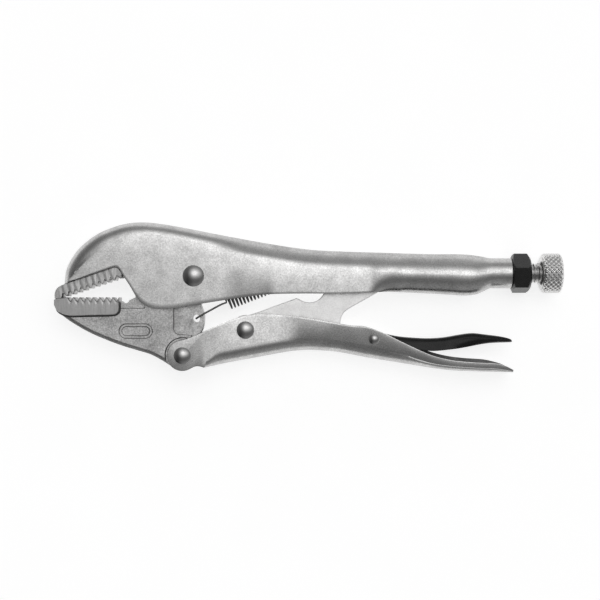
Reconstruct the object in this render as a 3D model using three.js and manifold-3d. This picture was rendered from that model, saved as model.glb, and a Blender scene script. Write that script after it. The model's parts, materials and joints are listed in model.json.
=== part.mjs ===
// Locking pliers, nominal 250 mm, closed and locked, lying flat.
// Millimetres. The plane of the pliers is XY: +X runs from the jaw nose to the adjusting knob,
// +Y from the lower handle to the upper handle, and +Z is the thickness, upwards.
// Every shape is drawn from the jaw pivot as datum, with z = 0 in the middle of the thickness.
// At the end the whole group is moved so that its base is centred on the origin, at z = 0.
import * as THREE from "three";
import { mergeVertices } from "three/addons/utils/BufferGeometryUtils.js";
import Module from "manifold-3d";

const wasm = await Module();
wasm.setup();

// ---------- driving dimensions ----------
const SHEET = 2.5; // thickness of the folded steel sheet of both handles
const HEAD_HALF = 8.2; // half width over the head of the upper handle and over the lugs
const GRIP_HALF = 7.2; // half width of the upper handle behind the head
const TUBE_HALF = 8.5; // half width of the rolled tube at its fullest
const NECK_R = 7.4; // outer radius of the neck
const LOWER_HALF = 7.7; // half width of the lower handle behind its lugs
const JAW_HALF = 5.2; // half thickness of both jaws
const PAD_HALF = 6.0; // half width of the toothed pads
const TAIL_HALF = 4.2; // half thickness of the lower jaw's tail
const LINK_HALF = 1.7; // half thickness of the toggle link
const LEVER_HALF = 4.6; // half width of the release lever
const LEVER_SHEET = 1.6;

const PIVOT_JAW = [0, 0];
const PIVOT_HANDLE = [-5.4, -38.6];
const PIVOT_LINK = [25.1, -26.2];
const PIVOT_LEVER = [87.5, -30.6];
const SPRING_HOLE = [1, -20.7];
const SPRING_ANCHOR = [53.4, 0.6];
const LINK_TIP = [103, 1.4]; // where the toggle link bears on the adjusting screw

const RUN = 0.1; // radial running clearance of a pivot
const GAP = 0.3; // clearance between neighbouring pieces
const JAW_RIVET = { shank: 3.6, head: 5.15, top: 10.4 };
const HANDLE_RIVET = { shank: 3.0, head: 4.1, top: 10.0 };
const LINK_RIVET = { shank: 3.0, head: 4.2, top: 9.5 };
const LEVER_PIN = { shank: 1.9, head: 2.7, top: 8.7 };

const SCREW_Y = 1.4; // height of the screw axis
const SCREW_R = 4.9; // M10 thread, outer radius
const SCREW_START = 106.6;
const NECK_END = 154.7;
const NUT = { x0: 155.0, x1: 163.9, flats: 17.3, turn: 15.0 };
const KNOB = { x0: 168.1, x1: 179.3, r: 9.55, bore: 6.5 };

const TOOTH_PITCH = 3.1;
const TOOTH_DEPTH = 2.1;

// ---------- helpers ----------
const v2 = (p) => new THREE.Vector2(p[0], p[1]);
const lerp = (a, b, t) => a + (b - a) * t;
const mix = (p, q, t) => [lerp(p[0], q[0], t), lerp(p[1], q[1], t)];
const smooth = (a, b, x) => {
  const t = Math.min(1, Math.max(0, (x - a) / (b - a)));
  return t * t * (3 - 2 * t);
};

// A smooth line through a few points, as a plain list.
function curve(points, n) {
  const c = new THREE.SplineCurve(points.map(v2));
  return c.getSpacedPoints(n).map((p) => [p.x, p.y]);
}

function arc(c, r, from, to, n) {
  const out = [];
  for (let i = 0; i <= n; i++) {
    const a = THREE.MathUtils.degToRad(lerp(from, to, i / n));
    out.push([c[0] + r * Math.cos(a), c[1] + r * Math.sin(a)]);
  }
  return out;
}

// A closed outline in XY made into a plate from z0 to z1. With a chamfer, both faces are drawn in by it.
function plate(points, z0, z1, chamfer = 0) {
  let line = points.map(v2);
  if (THREE.ShapeUtils.isClockWise(line)) line = line.reverse();
  const n = line.length;
  const inward = line.map((p, i) => {
    const a = p.clone().sub(line[(i + n - 1) % n]).normalize();
    const b = line[(i + 1) % n].clone().sub(p).normalize();
    const m = new THREE.Vector2(-a.y - b.y, a.x + b.x);
    const l = m.length();
    return l < 1e-6 ? m.set(0, 0) : m.multiplyScalar(Math.min(2 / (l * l), 0.75));
  });
  const rows = chamfer
    ? [[z0, chamfer], [z0 + chamfer * 0.3, chamfer * 0.3], [z0 + chamfer, 0],
       [z1 - chamfer, 0], [z1 - chamfer * 0.3, chamfer * 0.3], [z1, chamfer]]
    : [[z0, 0], [z1, 0]];
  const pos = [],
    tri = [];
  for (const [z, c] of rows)
    line.forEach((p, i) =>
      pos.push(p.x + inward[i].x * c, p.y + inward[i].y * c, z),
    );
  for (let j = 0; j + 1 < rows.length; j++)
    for (let i = 0; i < n; i++) {
      const k = (i + 1) % n;
      const A = j * n + i, B = j * n + k, C = B + n, D = A + n;
      tri.push(A, B, C, A, C, D);
    }
  const top = (rows.length - 1) * n;
  for (const [a, b, c] of THREE.ShapeUtils.triangulateShape(line, []))
    tri.push(a, c, b, top + a, top + b, top + c);
  const g = new THREE.BufferGeometry();
  g.setAttribute("position", new THREE.Float32BufferAttribute(pos, 3));
  g.setIndex(tri);
  return g;
}

// A pin or hole along Z.
function cylinderZ(c, r, z0, z1, n = 24) {
  const g = new THREE.CylinderGeometry(r, r, z1 - z0, n);
  g.rotateX(Math.PI / 2);
  g.translate(c[0], c[1], (z0 + z1) / 2);
  return g;
}

// A solid turned about a line parallel to X. The profile lists [x, radius].
function turnedX(profile, y, n = 32) {
  const g = new THREE.LatheGeometry(
    profile.map(([x, r]) => new THREE.Vector2(Math.max(r, 0), x)),
    n,
  );
  g.rotateZ(-Math.PI / 2);
  g.translate(0, y, 0);
  return g;
}

// The same about a line parallel to Z. The profile lists [radius, z] upwards.
function turnedZ(profile, c, n = 32) {
  const g = new THREE.LatheGeometry(
    profile.map(([r, z]) => new THREE.Vector2(Math.max(r, 0), z)),
    n,
  );
  g.rotateX(Math.PI / 2);
  g.translate(c[0], c[1], 0);
  return g;
}

function solid(geometry) {
  let g = geometry.clone();
  for (const name of Object.keys(g.attributes))
    if (name !== "position") g.deleteAttribute(name);
  g = mergeVertices(g, 1e-4);
  const made = new wasm.Manifold(
    new wasm.Mesh({
      numProp: 3,
      vertProperties: new Float32Array(g.attributes.position.array),
      triVerts: new Uint32Array(g.index.array),
    }),
  );
  return made;
}

function geometryOf(made) {
  const m = made.getMesh();
  const g = new THREE.BufferGeometry();
  g.setAttribute(
    "position",
    new THREE.BufferAttribute(new Float32Array(m.vertProperties), 3),
  );
  g.setIndex(new THREE.BufferAttribute(new Uint32Array(m.triVerts), 1));
  g.computeVertexNormals();
  return g;
}

function minus(base, ...cuts) {
  return cuts.reduce((s, c) => s.subtract(solid(c)), base);
}

// ---------- folded sheet ----------
// One sheet folded into a channel along a spine. Each station gives the outer point p of the fold's
// back, the direction n that it faces, the half width w, the fold's depth a and width r, the end g of
// the flat flank, the lip q, how far the lip is rolled (0 flat, 1 round), and the rolled lip's place
// under the tube and its distance from the middle plane.
const ROLLED = { fold: 4, lip: 4 };
const OPEN = { fold: 4, lip: 1 };

function halfSection(s, inset, steps) {
  const t = inset ? s.t : 0;
  const w = s.w - t;
  const a = Math.max(s.a - t, 0.25);
  const r = Math.max(s.r - t, 0.25);
  const top = [s.p[0] - s.n[0] * t, s.p[1] - s.n[1] * t];
  const at = (d) => [top[0] - s.n[0] * d, top[1] - s.n[1] * d];
  const out = [
    [...top, 0],
    [...top, w - r],
  ];
  for (let i = 1; i <= steps.fold; i++) {
    const th = (i / steps.fold) * (Math.PI / 2);
    out.push([...at(a * (1 - Math.cos(th))), w - r + r * Math.sin(th)]);
  }
  const f = at(a);
  out.push([...mix(f, s.g, 0.5), w], [...s.g, w]);
  const under = [s.under[0] + s.n[0] * t, s.under[1] + s.n[1] * t];
  const most = Math.acos(Math.min(1, s.lip / w));
  for (let i = 1; i <= steps.lip; i++) {
    const u = i / steps.lip;
    const flat = [...mix(s.g, s.q, u), w];
    const ph = u * most;
    const round = [
      ...mix(s.g, under, Math.sin(ph) / Math.sin(most)),
      w * Math.cos(ph),
    ];
    out.push(flat.map((v, k) => lerp(v, round[k], s.roll)));
  }
  return out;
}

function foldedSheet(stations, steps) {
  const rows = (inset) =>
    stations.map((s) => {
      const half = halfSection(s, inset, steps);
      const other = half.slice(1).map(([x, y, z]) => [x, y, -z]);
      return [...half.slice().reverse(), ...other];
    });
  const outer = rows(false),
    inner = rows(true);
  const m = stations.length,
    n = outer[0].length;
  const pos = [];
  for (const set of [outer, inner])
    for (const row of set) for (const p of row) pos.push(...p);
  const O = (j, i) => j * n + i,
    I = (j, i) => m * n + j * n + i;
  const tri = [];
  const quad = (a, b, c, d) => tri.push(a, b, c, a, c, d);
  for (let j = 0; j + 1 < m; j++) {
    for (let i = 0; i + 1 < n; i++) {
      quad(O(j, i), O(j + 1, i), O(j + 1, i + 1), O(j, i + 1));
      quad(I(j, i), I(j, i + 1), I(j + 1, i + 1), I(j + 1, i));
    }
    quad(O(j, 0), I(j, 0), I(j + 1, 0), O(j + 1, 0));
    quad(O(j, n - 1), O(j + 1, n - 1), I(j + 1, n - 1), I(j, n - 1));
  }
  for (let i = 0; i + 1 < n; i++) {
    quad(O(0, i), O(0, i + 1), I(0, i + 1), I(0, i));
    quad(O(m - 1, i), I(m - 1, i), I(m - 1, i + 1), O(m - 1, i + 1));
  }
  const g = new THREE.BufferGeometry();
  g.setAttribute("position", new THREE.Float32BufferAttribute(pos, 3));
  g.setIndex(tri);
  const made = solid(g);
  if (made.volume() > 0) return made;
  const back = [];
  for (let i = 0; i < tri.length; i += 3)
    back.push(tri[i], tri[i + 2], tri[i + 1]);
  g.setIndex(back);
  return solid(g);
}

// The value of a piecewise smooth table [x, value] at x.
function along(table, x) {
  if (x <= table[0][0]) return table[0][1];
  for (let i = 1; i < table.length; i++)
    if (x <= table[i][0])
      return lerp(
        table[i - 1][1],
        table[i][1],
        smooth(table[i - 1][0], table[i][0], x),
      );
  return table[table.length - 1][1];
}

function normals(points, side) {
  return points.map((p, i) => {
    const a = points[Math.max(0, i - 1)],
      b = points[Math.min(points.length - 1, i + 1)];
    const dx = b[0] - a[0],
      dy = b[1] - a[1],
      l = Math.hypot(dx, dy);
    return [(-dy / l) * side, (dx / l) * side];
  });
}

// ---------- upper handle ----------
// The back of the upper handle, from below the nose, over the head and along the tube to the neck.
const BACK_HEAD = [
  [-62.9, -9], [-63.4, -3], [-62.4, 3.5], [-59.0, 10], [-55, 14.8], [-47.3, 20.6],
  [-39.4, 24], [-32, 25.9], [-25.7, 26.3], [-18, 25.8], [-4.2, 23.5], [10, 20.7],
  [23.2, 18.2], [35, 16.1],
];
const BACK_GRIP = [
  [35, 16.1], [46.7, 14.2], [58.4, 12.8], [72, 12.1], [88, 11.6], [104, 11.1],
  [118, 10.8], [128, 10.8], [134, 10.5], [139.5, 9.8],
  [144, SCREW_Y + NECK_R + 0.1], [146.5, SCREW_Y + NECK_R], [NECK_END, SCREW_Y + NECK_R],
];
// The lower edge of the flank.
const MOUTH_EDGE = [
  [-72, -6.6], [-61.7, -3.2], [-54.9, -0.9], [-45.2, 2.4], [-39.6, 4.3],
  [-38.2, 4.7], [-36.9, 4.4], [-35.6, 3.1], [-34.3, 0.7], [-30.7, -4.9],
  [-27.8, -9.8], [-25.2, -12.9], [-22, -14.9], [-18.6, -15.8], [-15.2, -16.0],
  [-9.9, -15.6], [-1.7, -14.3], [8, -12.7], [17.7, -11.2], [27.4, -9.8],
];
const EDGE_GRIP = [
  [27.4, -9.8], [33, -9.1], [40, -8.7], [51.6, -8.5], [66, -8.5], [78, -8.3],
  [86, -7.9], [95, -7.7], [105, -8.1], [115, -8.6], [124, -9.1], [130, -9.5],
  [134, -9.5], [138, -8.9], [141.5, -7.5],
  [144.3, SCREW_Y - NECK_R - 0.1], [146.5, SCREW_Y - NECK_R], [NECK_END, SCREW_Y - NECK_R],
];
// Line inside which the flank's lower edge is drawn in the head, before the mouth is cut.
const RAW_EDGE = [
  [-56, -12.5], [-52, -10.5], [-48, -8], [-45, -6], [-42.5, -4.6], [-40, -4],
  [-37.5, -4.2], [-35, -6], [-32, -11], [-28.5, -16.2], [-21, -18.6], [-8, -18.4],
  [4, -15.4], [16, -12.6], [27.4, -9.9], [35, -8.95],
];

function lineAt(points, x) {
  for (let i = 1; i < points.length; i++)
    if (x <= points[i][0]) {
      const t = (x - points[i - 1][0]) / (points[i][0] - points[i - 1][0]);
      return lerp(points[i - 1][1], points[i][1], t);
    }
  return points[points.length - 1][1];
}

function upperHandle() {
  const width = [
    [22, HEAD_HALF], [36, GRIP_HALF], [84, GRIP_HALF], [104, 7.9],
    [128, TUBE_HALF], [134, TUBE_HALF - 0.1], [145, NECK_R],
  ];
  const stations = [];
  const headBack = curve(BACK_HEAD, 24);
  const headRaw = curve(RAW_EDGE, 200);
  const headN = normals(headBack, 1);
  headBack.forEach((p, i) => {
    // the raw edge is walked at the pace that keeps the section lines from crossing
    const u = i / (headBack.length - 1);
    const q = headRaw[Math.round(u * (headRaw.length - 1))];
    const n = i === headBack.length - 1 ? [0.17, 0.985] : headN[i];
    stations.push({
      p, n, w: along(width, p[0]), a: 6.5, r: 6.3, t: SHEET,
      g: mix([p[0] - n[0] * 6.5, p[1] - n[1] * 6.5], q, 0.6),
      q, roll: 0, under: q, lip: 0.2,
    });
  });
  const edge = curve(EDGE_GRIP, 300);
  const back = curve(BACK_GRIP, 300);
  const xs = [
    39, 44, 50, 56, 62, 68, 74, 79, 83, 85, 87, 89, 91, 93, 95, 97, 99, 101, 103, 105, 110, 116, 122,
    128, 132, 135, 138, 140.5, 142.5, 144.5, 146.5, 150, NECK_END,
  ];
  for (const x of xs) {
    const top = lineAt(back, x),
      low = lineAt(edge, x);
    const round = smooth(84, 96, x);
    const w = along(width, x);
    const mid = (top + low) / 2;
    const a = lerp(6.5, top - mid, round);
    const r = Math.min(lerp(6.3, w - 0.25, round), w - 0.25);
    const slope = (lineAt(back, x + 0.5) - lineAt(back, x - 0.5)) / 1;
    const l = Math.hypot(1, slope);
    const flat = smooth(96, 108, x);
    const n = [lerp(-slope / l, 0, flat), lerp(1 / l, 1, flat)];
    const q = [x, low];
    const f = [x - n[0] * a, top - n[1] * a];
    stations.push({
      p: [x, top], n, w, a, r,
      t: lerp(SHEET, NECK_R - SCREW_R - 0.2, smooth(136, 144, x)),
      g: mix(mix(f, q, 0.6), [x, mid - 0.15], round),
      q, roll: round, under: [x, low],
      lip: lerp(2.4, 0.15, smooth(100, 104, x)),
    });
  }
  let s = foldedSheet(stations, ROLLED);
  // the mouth and the lower edge of the head
  const mouth = [[-72, -30], ...MOUTH_EDGE, [34, -9.6], [34, -30]];
  s = minus(s, plate(mouth, -12, 12));
  // the tab inside the back that holds the spring
  const tab = [
    [50.8, 12.2], [50.8, -0.2], ...arc([53.4, -0.2], 2.6, 180, 360, 8), [56, 11.6],
  ];
  s = s.add(solid(plate(tab, -0.9, 0.9)));
  s = minus(
    s,
    cylinderZ(SPRING_ANCHOR, 1.3, -2, 2, 16),
    cylinderZ(PIVOT_JAW, JAW_RIVET.shank + GAP, -12, 12),
  );
  return geometryOf(s);
}

// ---------- jaws ----------
// A row of teeth from p to q: tips on the line, roots on the side given by up.
function teeth(p, q, depth, up) {
  const l = Math.hypot(q[0] - p[0], q[1] - p[1]);
  const n = Math.round(l / TOOTH_PITCH);
  const dir = [(q[0] - p[0]) / l, (q[1] - p[1]) / l];
  const nor = [-dir[1] * up, dir[0] * up];
  const out = [];
  const step = l / n;
  for (let i = 0; i < n; i++) {
    const s = i * step;
    out.push([p[0] + dir[0] * s, p[1] + dir[1] * s]);
    out.push([p[0] + dir[0] * (s + 0.35), p[1] + dir[1] * (s + 0.35)]);
    const m = s + step * 0.6;
    out.push([
      p[0] + dir[0] * m + nor[0] * depth,
      p[1] + dir[1] * m + nor[1] * depth,
    ]);
  }
  out.push([q[0], q[1]]);
  return out;
}

function fixedJaw() {
  // the toothed pad follows the sheet's lower edge, just below it
  const upper = MOUTH_EDGE.slice(1, 9).map(([x, y]) => [x - 0.12, y - 0.35]);
  const grip = teeth([-64.4, -10.9], [-35.8, -1.4], TOOTH_DEPTH, 1);
  const pad = [
    [-63.6, -4.2], ...upper, [-34.9, -0.9], ...grip.slice().reverse(),
    [-67.2, -11], [-67.6, -10.2], [-67.5, -8.6], [-66.9, -6.8], [-65.9, -5.5],
  ];
  // the tongue fills the head above the pad, clear of the folded back
  const tongue = [
    [-58.2, -5], [-58.2, -1], [-57.0, 3.2], [-54.2, 7.7], [-50.9, 11.2], [-44.8, 15.7],
    [-38.2, 18.4], [-32.4, 19.9], [-31, 15], [-31.8, 8], [-33.6, 3], [-37.4, 1], [-40, -2],
  ];
  const s = solid(plate(pad, -PAD_HALF, PAD_HALF)).add(
    solid(plate(tongue, -JAW_HALF, JAW_HALF)),
  );
  return geometryOf(s);
}

function lowerJaw() {
  const belly = curve(
    [
      [-67.6, -14], [-66.2, -17.2], [-62.6, -20.3], [-58.7, -23.0], [-51, -27.4],
      [-43, -30.9], [-35.3, -33.8], [-27.4, -36.2], [-21, -38.2], [-16, -40.8],
    ],
    22,
  );
  // body: round the pivot, down the tail, round the lower pivot, along the belly
  const body = [
    ...arc([-24.2, -8.8], 4.4, 200, 150, 3),
    ...arc(PIVOT_JAW, 12, 160, 20, 14),
    ...curve([[11, 0], [8.5, -7], [4.2, -13]], 6).slice(1),
    ...curve([[3.2, -14], [4.6, -18], [4.9, -21.4], [4.2, -25.5], [1.9, -30], [0.9, -35]], 8),
    ...arc(PIVOT_HANDLE, 6.6, 10, -110, 8),
    [-11.5, -43.6],
    ...belly.slice().reverse(),
    [-67.8, -12.4], [-67.3, -11.5], [-61.4, -11.4],
    [-60, -13.2], [-38, -13.2], [-36.6, -12.6],
    ...arc([-33.6, -10.9], 2.4, 215, 340, 5),
  ];
  let s = solid(plate(body, -JAW_HALF, JAW_HALF, 1.2));
  // toothed pad
  const grip = teeth([-62.2, -10.3], [-36.6, -10.3], TOOTH_DEPTH, -1);
  const pad = [
    ...grip,
    [-36.6, -17.2], [-38.2, -18.9], [-59.3, -18.9], [-62.2, -15.6],
  ];
  s = s.add(solid(plate(pad.reverse(), -PAD_HALF, PAD_HALF)));
  // thinner tail, between the sheet of the head and the lugs of the lower handle
  const thin = [
    [-10.4, -15], [-10.4, -26.3], [-6.8, -29.3], [-0.9, -30], [-0.9, -30.8], [-12.8, -31.2],
    [-15.6, -38.6], [-12.5, -46], [-6, -50], [8, -50], [14, -30], [14, -15],
  ];
  for (const [z0, z1] of [[TAIL_HALF, 9], [-9, -TAIL_HALF]])
    s = minus(s, plate(thin, z0, z1));
  s = minus(
    s,
    cylinderZ(PIVOT_JAW, JAW_RIVET.shank + RUN, -12, 12),
    cylinderZ(PIVOT_HANDLE, HANDLE_RIVET.shank + RUN, -12, 12),
    cylinderZ(SPRING_HOLE, 1.9, -12, 12, 20),
  );
  // shallow oval recess on the upper side
  const oval = [
    ...arc([-32.9, -26.8], 3.3, 90, 270, 8), ...arc([-23.7, -26.8], 3.3, -90, 90, 8),
  ];
  s = minus(s, plate(oval, JAW_HALF - 0.35, 9));
  return geometryOf(s);
}

// ---------- lower handle ----------
function lowerHandle() {
  const backLine = curve(
    [
      [5, -44.6], [15.4, -42.5], [31, -39.6], [46.7, -36.8], [54.5, -36.2], [62.3, -36.4],
      [70.2, -37.2], [86, -40.1], [101.5, -42.6], [117, -45], [126, -46], [136, -46.4], [155, -46.8],
    ],
    400,
  );
  const edgeLine = curve(
    [
      [5, -26.8], [12.9, -23.3], [20, -20.6], [27.4, -18.9], [34.6, -18.5], [42, -18.9],
      [56, -20.6], [70.9, -23.3], [78.2, -24.4], [83, -24.6], [90.3, -26.8], [99.9, -31.5],
      [109.6, -36.1], [116, -38.7], [124, -40.7], [131, -41.6], [140, -42.2], [148, -42.7], [155, -43.2],
    ],
    400,
  );
  const stations = [];
  const xs = [
    5, 6.3, 8, 9.5, 11, 14, 18, 22, 26, 30, 35, 40, 45, 50, 55, 60, 65, 70, 75, 79, 82, 85, 88, 92,
    96, 100, 104, 108, 112, 116, 120, 124, 128, 133, 138, 143, 148, 152, 155,
  ];
  for (const x of xs) {
    const low = lineAt(backLine, x),
      top = lineAt(edgeLine, x);
    const slope = lineAt(backLine, x + 0.5) - lineAt(backLine, x - 0.5);
    const l = Math.hypot(1, slope);
    const tip = smooth(5, 14, x);
    const n = x < 6 ? [0, -1] : [slope / l, -1 / l];
    const w = x < 152
      ? along([[6.3, HEAD_HALF], [11, LOWER_HALF]], x)
      : along([[150, LOWER_HALF], [155, LOWER_HALF - 0.8]], x);
    const a = Math.min(lerp(2.8, 6, tip), 0.78 * (top - low));
    const f = [x - n[0] * a, low - n[1] * a];
    const q = [x, top];
    stations.push({
      p: [x, low], n, w, a, r: a, t: SHEET,
      g: mix(f, q, 0.5), q, roll: 0, under: q, lip: 0.2,
    });
  }
  let s = foldedSheet(stations, OPEN);
  const lug = [
    [5, -26.8], [0.5, -28.8], [-3, -30.1],
    ...arc(PIVOT_HANDLE, 7.5, 95, 290, 18),
    [-1.2, -44.9], [0.3, -44.1], [1.9, -43.8], [3.4, -44], [5, -44.5],
    [5.6, -44.3], [5.6, -41.4], [6.1, -41.2], [6.1, -28],
  ];
  for (const z of [HEAD_HALF - SHEET, -HEAD_HALF])
    s = s.add(solid(plate(lug, z, z + SHEET)));
  // the end of the handle slopes off
  const end = [
    [146, -30], [146, -42.3], [149.2, -42.9], [151.4, -44], [153.4, -45.4], [156.5, -46.2],
    [156.5, -30],
  ];
  s = minus(
    s,
    plate(end, -12, 12),
    cylinderZ(PIVOT_HANDLE, HANDLE_RIVET.shank + GAP, -12, 12),
    cylinderZ(PIVOT_LINK, LINK_RIVET.shank + GAP, -12, 12),
    cylinderZ(PIVOT_LEVER, LEVER_PIN.shank + GAP, -12, 12, 24),
  );
  return geometryOf(s);
}

// ---------- toggle link ----------
function toggleLink() {
  const outline = [
    ...arc(PIVOT_LINK, 7.2, 215, 325, 7),
    [45, -29.6], [60, -27.6], [66, -28],
    ...arc([68.2, -25.6], 3, 270, 355, 4),
    [71.3, -22.4], [71.6, -20.4], [72.4, -18.6], [73.8, -17], [76.2, -15.4],
    [81, -12.7], [88.7, -8.4], [94.5, -4.9], [98.4, -2.4],
    ...arc([100.2, 1], 2.8, -60, 100, 8),
    [94, 3.2], [84, 1.6], [74, -1.6], [66.5, -4.4],
    ...curve(
      [
        [64, -6.2], [63.5, -7.8], [62.9, -9], [61.5, -10.8], [59.4, -12.3], [57, -12.9],
        [54.6, -12.75], [52.5, -12.1], [50.9, -11.2], [49.6, -10.85],
      ],
      16,
    ),
    [46.7, -12], [39.3, -14.6], [33, -17], [28.6, -18.4],
    ...arc(PIVOT_LINK, 7.2, 80, 180, 8),
  ];
  const s = minus(
    solid(plate(outline, -LINK_HALF, LINK_HALF)),
    cylinderZ(PIVOT_LINK, LINK_RIVET.shank + RUN, -5, 5),
  );
  return geometryOf(s);
}

// ---------- release lever ----------
function releaseLever() {
  const back = curve(
    [
      [79.5, -26.4], [85, -26.1], [90.5, -27.3], [95.3, -28.6], [100.2, -29.5], [107, -30.1],
      [114.8, -30.4], [122, -29.9], [128.4, -28.8], [133, -28.1], [136.5, -27.9], [142, -28.5],
      [149, -29.4], [152.8, -30.2],
    ],
    300,
  );
  const edge = [
    [79.5, -33], [84, -34.8], [90, -35.0], [96, -34.6], [104, -34.9], [110, -35.8], [116, -36.5], [124.5, -35.8],
    [129.3, -35.2], [134.2, -34.4], [139.1, -33.5], [144, -32.8], [149, -32.5], [152.8, -32.4],
  ];
  const stations = [];
  for (const x of [
    79.5, 82, 85, 88, 91, 94, 97, 101, 106, 111, 116, 121, 125, 129, 133, 136.5, 140, 144, 148, 151, 152.8,
  ]) {
    const top = lineAt(back, x),
      low = lineAt(edge, x);
    const slope = (lineAt(back, x + 0.5) - lineAt(back, x - 0.5));
    const l = Math.hypot(1, slope);
    const n = [-slope / l, 1 / l];
    const w = x > 146 ? along([[146, LEVER_HALF], [152.8, LEVER_HALF - 1]], x) : LEVER_HALF;
    const a = Math.min(2.6, 0.8 * (top - low));
    const q = [x, low];
    stations.push({
      p: [x, top], n, w, a, r: a, t: LEVER_SHEET,
      g: mix([x - n[0] * a, top - n[1] * a], q, 0.5), q, roll: 0, under: q, lip: 0.2,
    });
  }
  let s = foldedSheet(stations, OPEN);
  s = s.add(solid(plate([
    [151.5, -30.6], [153.6, -30.5], [154.8, -31.3], [155, -32], [154.3, -32.3], [151.5, -32.3],
  ], -(LEVER_HALF - 1.2), LEVER_HALF - 1.2)));
  s = minus(s, cylinderZ(PIVOT_LEVER, LEVER_PIN.shank + RUN, -12, 12, 24));
  return geometryOf(s);
}

// ---------- screw, knob and nut ----------
function adjustingScrew() {
  return turnedX(
    [
      [SCREW_START, 0], [SCREW_START, 2.6], [SCREW_START + 1.6, 4.2], [SCREW_START + 2.4, SCREW_R],
      [KNOB.x0 + KNOB.bore - 0.3, SCREW_R], [KNOB.x0 + KNOB.bore - 0.3, 0],
    ],
    SCREW_Y,
  );
}

function adjustingKnob() {
  return turnedX(
    [
      [KNOB.x0, SCREW_R + RUN], [KNOB.x0, 6.6], [KNOB.x0 + 0.4, 8.0], [KNOB.x0 + 1.0, 9.0],
      [KNOB.x0 + 1.6, 9.3], [KNOB.x0 + 2.0, KNOB.r], [KNOB.x1 - 0.9, KNOB.r],
      [KNOB.x1, KNOB.r - 1.1], [KNOB.x1, 0], [KNOB.x0 + KNOB.bore, 0],
      [KNOB.x0 + KNOB.bore, SCREW_R + RUN], [KNOB.x0, SCREW_R + RUN],
    ],
    SCREW_Y,
    48,
  );
}

function lockNut() {
  const r = NUT.flats / 2 / Math.cos(Math.PI / 6);
  const hex = new THREE.CylinderGeometry(r, r, NUT.x1 - NUT.x0, 6);
  // a vertex of the hexagon starts on +Z and is turned towards +Y
  hex.rotateZ(-Math.PI / 2);
  hex.rotateX(-THREE.MathUtils.degToRad(NUT.turn));
  hex.translate((NUT.x0 + NUT.x1) / 2, SCREW_Y, 0);
  const body = turnedX(
    [
      [NUT.x0, 0], [NUT.x0, 8.6], [NUT.x0 + 0.9, r + 0.05], [NUT.x1 - 0.9, r + 0.05],
      [NUT.x1, 8.6], [NUT.x1, 0],
    ],
    SCREW_Y,
    36,
  );
  const bore = turnedX(
    [[NUT.x0 - 1, 0], [NUT.x0 - 1, SCREW_R + RUN], [NUT.x1 + 1, SCREW_R + RUN], [NUT.x1 + 1, 0]],
    SCREW_Y,
  );
  return geometryOf(solid(hex).intersect(solid(body)).subtract(solid(bore)));
}

// ---------- spring ----------
function returnSpring() {
  const wire = 0.45,
    mean = 3.5;
  const from = new THREE.Vector3(15.8, -12.9, 0);
  const turns = 16.5,
    pitch = 1.75;
  const tilt = THREE.MathUtils.degToRad(21);
  const dir = new THREE.Vector3(Math.cos(tilt), Math.sin(tilt), 0);
  const side = new THREE.Vector3(-Math.sin(tilt), Math.cos(tilt), 0);
  const up = new THREE.Vector3(0, 0, 1);
  const path = [];
  path.push(
    new THREE.Vector3(SPRING_HOLE[0], SPRING_HOLE[1], 1.6),
    new THREE.Vector3(SPRING_HOLE[0], SPRING_HOLE[1], 4.0),
    new THREE.Vector3(SPRING_HOLE[0] + 0.5, SPRING_HOLE[1] + 0.3, 4.75),
    new THREE.Vector3(SPRING_HOLE[0] + 1.4, SPRING_HOLE[1] + 0.85, 4.85),
    new THREE.Vector3(8.5, -16.4, 4.7),
    new THREE.Vector3(13.2, -13.8, 4.15),
  );
  const perTurn = 10;
  for (let i = 0; i <= turns * perTurn; i++) {
    const a = (i / perTurn) * 2 * Math.PI;
    path.push(
      from
        .clone()
        .addScaledVector(dir, (i / perTurn) * pitch)
        .addScaledVector(up, mean * Math.cos(a))
        .addScaledVector(side, mean * Math.sin(a)),
    );
  }
  const end = from.clone().addScaledVector(dir, turns * pitch);
  path.push(
    end.clone().addScaledVector(dir, 2).addScaledVector(up, -mean * 0.9),
    new THREE.Vector3(50, 0.2, -2.4),
    new THREE.Vector3(SPRING_ANCHOR[0] - 0.7, SPRING_ANCHOR[1], -1.9),
    new THREE.Vector3(SPRING_ANCHOR[0], SPRING_ANCHOR[1], -1.2),
    new THREE.Vector3(SPRING_ANCHOR[0], SPRING_ANCHOR[1], 1.6),
  );
  // the wire is swept with a section that is carried along the path
  const sides = 5;
  const pos = [],
    tri = [];
  let nrm = new THREE.Vector3(1, 0, 0);
  path.forEach((p, i) => {
    const a = path[Math.max(0, i - 1)],
      b = path[Math.min(path.length - 1, i + 1)];
    const tan = b.clone().sub(a).normalize();
    nrm.addScaledVector(tan, -nrm.dot(tan)).normalize();
    const bin = tan.clone().cross(nrm);
    for (let k = 0; k < sides; k++) {
      const th = (k / sides) * 2 * Math.PI;
      const q = p
        .clone()
        .addScaledVector(nrm, wire * Math.cos(th))
        .addScaledVector(bin, wire * Math.sin(th));
      pos.push(q.x, q.y, q.z);
    }
  });
  for (let i = 0; i + 1 < path.length; i++)
    for (let k = 0; k < sides; k++) {
      const k2 = (k + 1) % sides;
      const a = i * sides + k,
        b = i * sides + k2,
        c = (i + 1) * sides + k2,
        d = (i + 1) * sides + k;
      tri.push(a, b, c, a, c, d);
    }
  const last = (path.length - 1) * sides;
  for (let k = 1; k + 1 < sides; k++) {
    tri.push(0, k + 1, k);
    tri.push(last, last + k, last + k + 1);
  }
  const g = new THREE.BufferGeometry();
  g.setAttribute("position", new THREE.Float32BufferAttribute(pos, 3));
  g.setIndex(tri);
  g.computeVertexNormals();
  return g;
}

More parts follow.
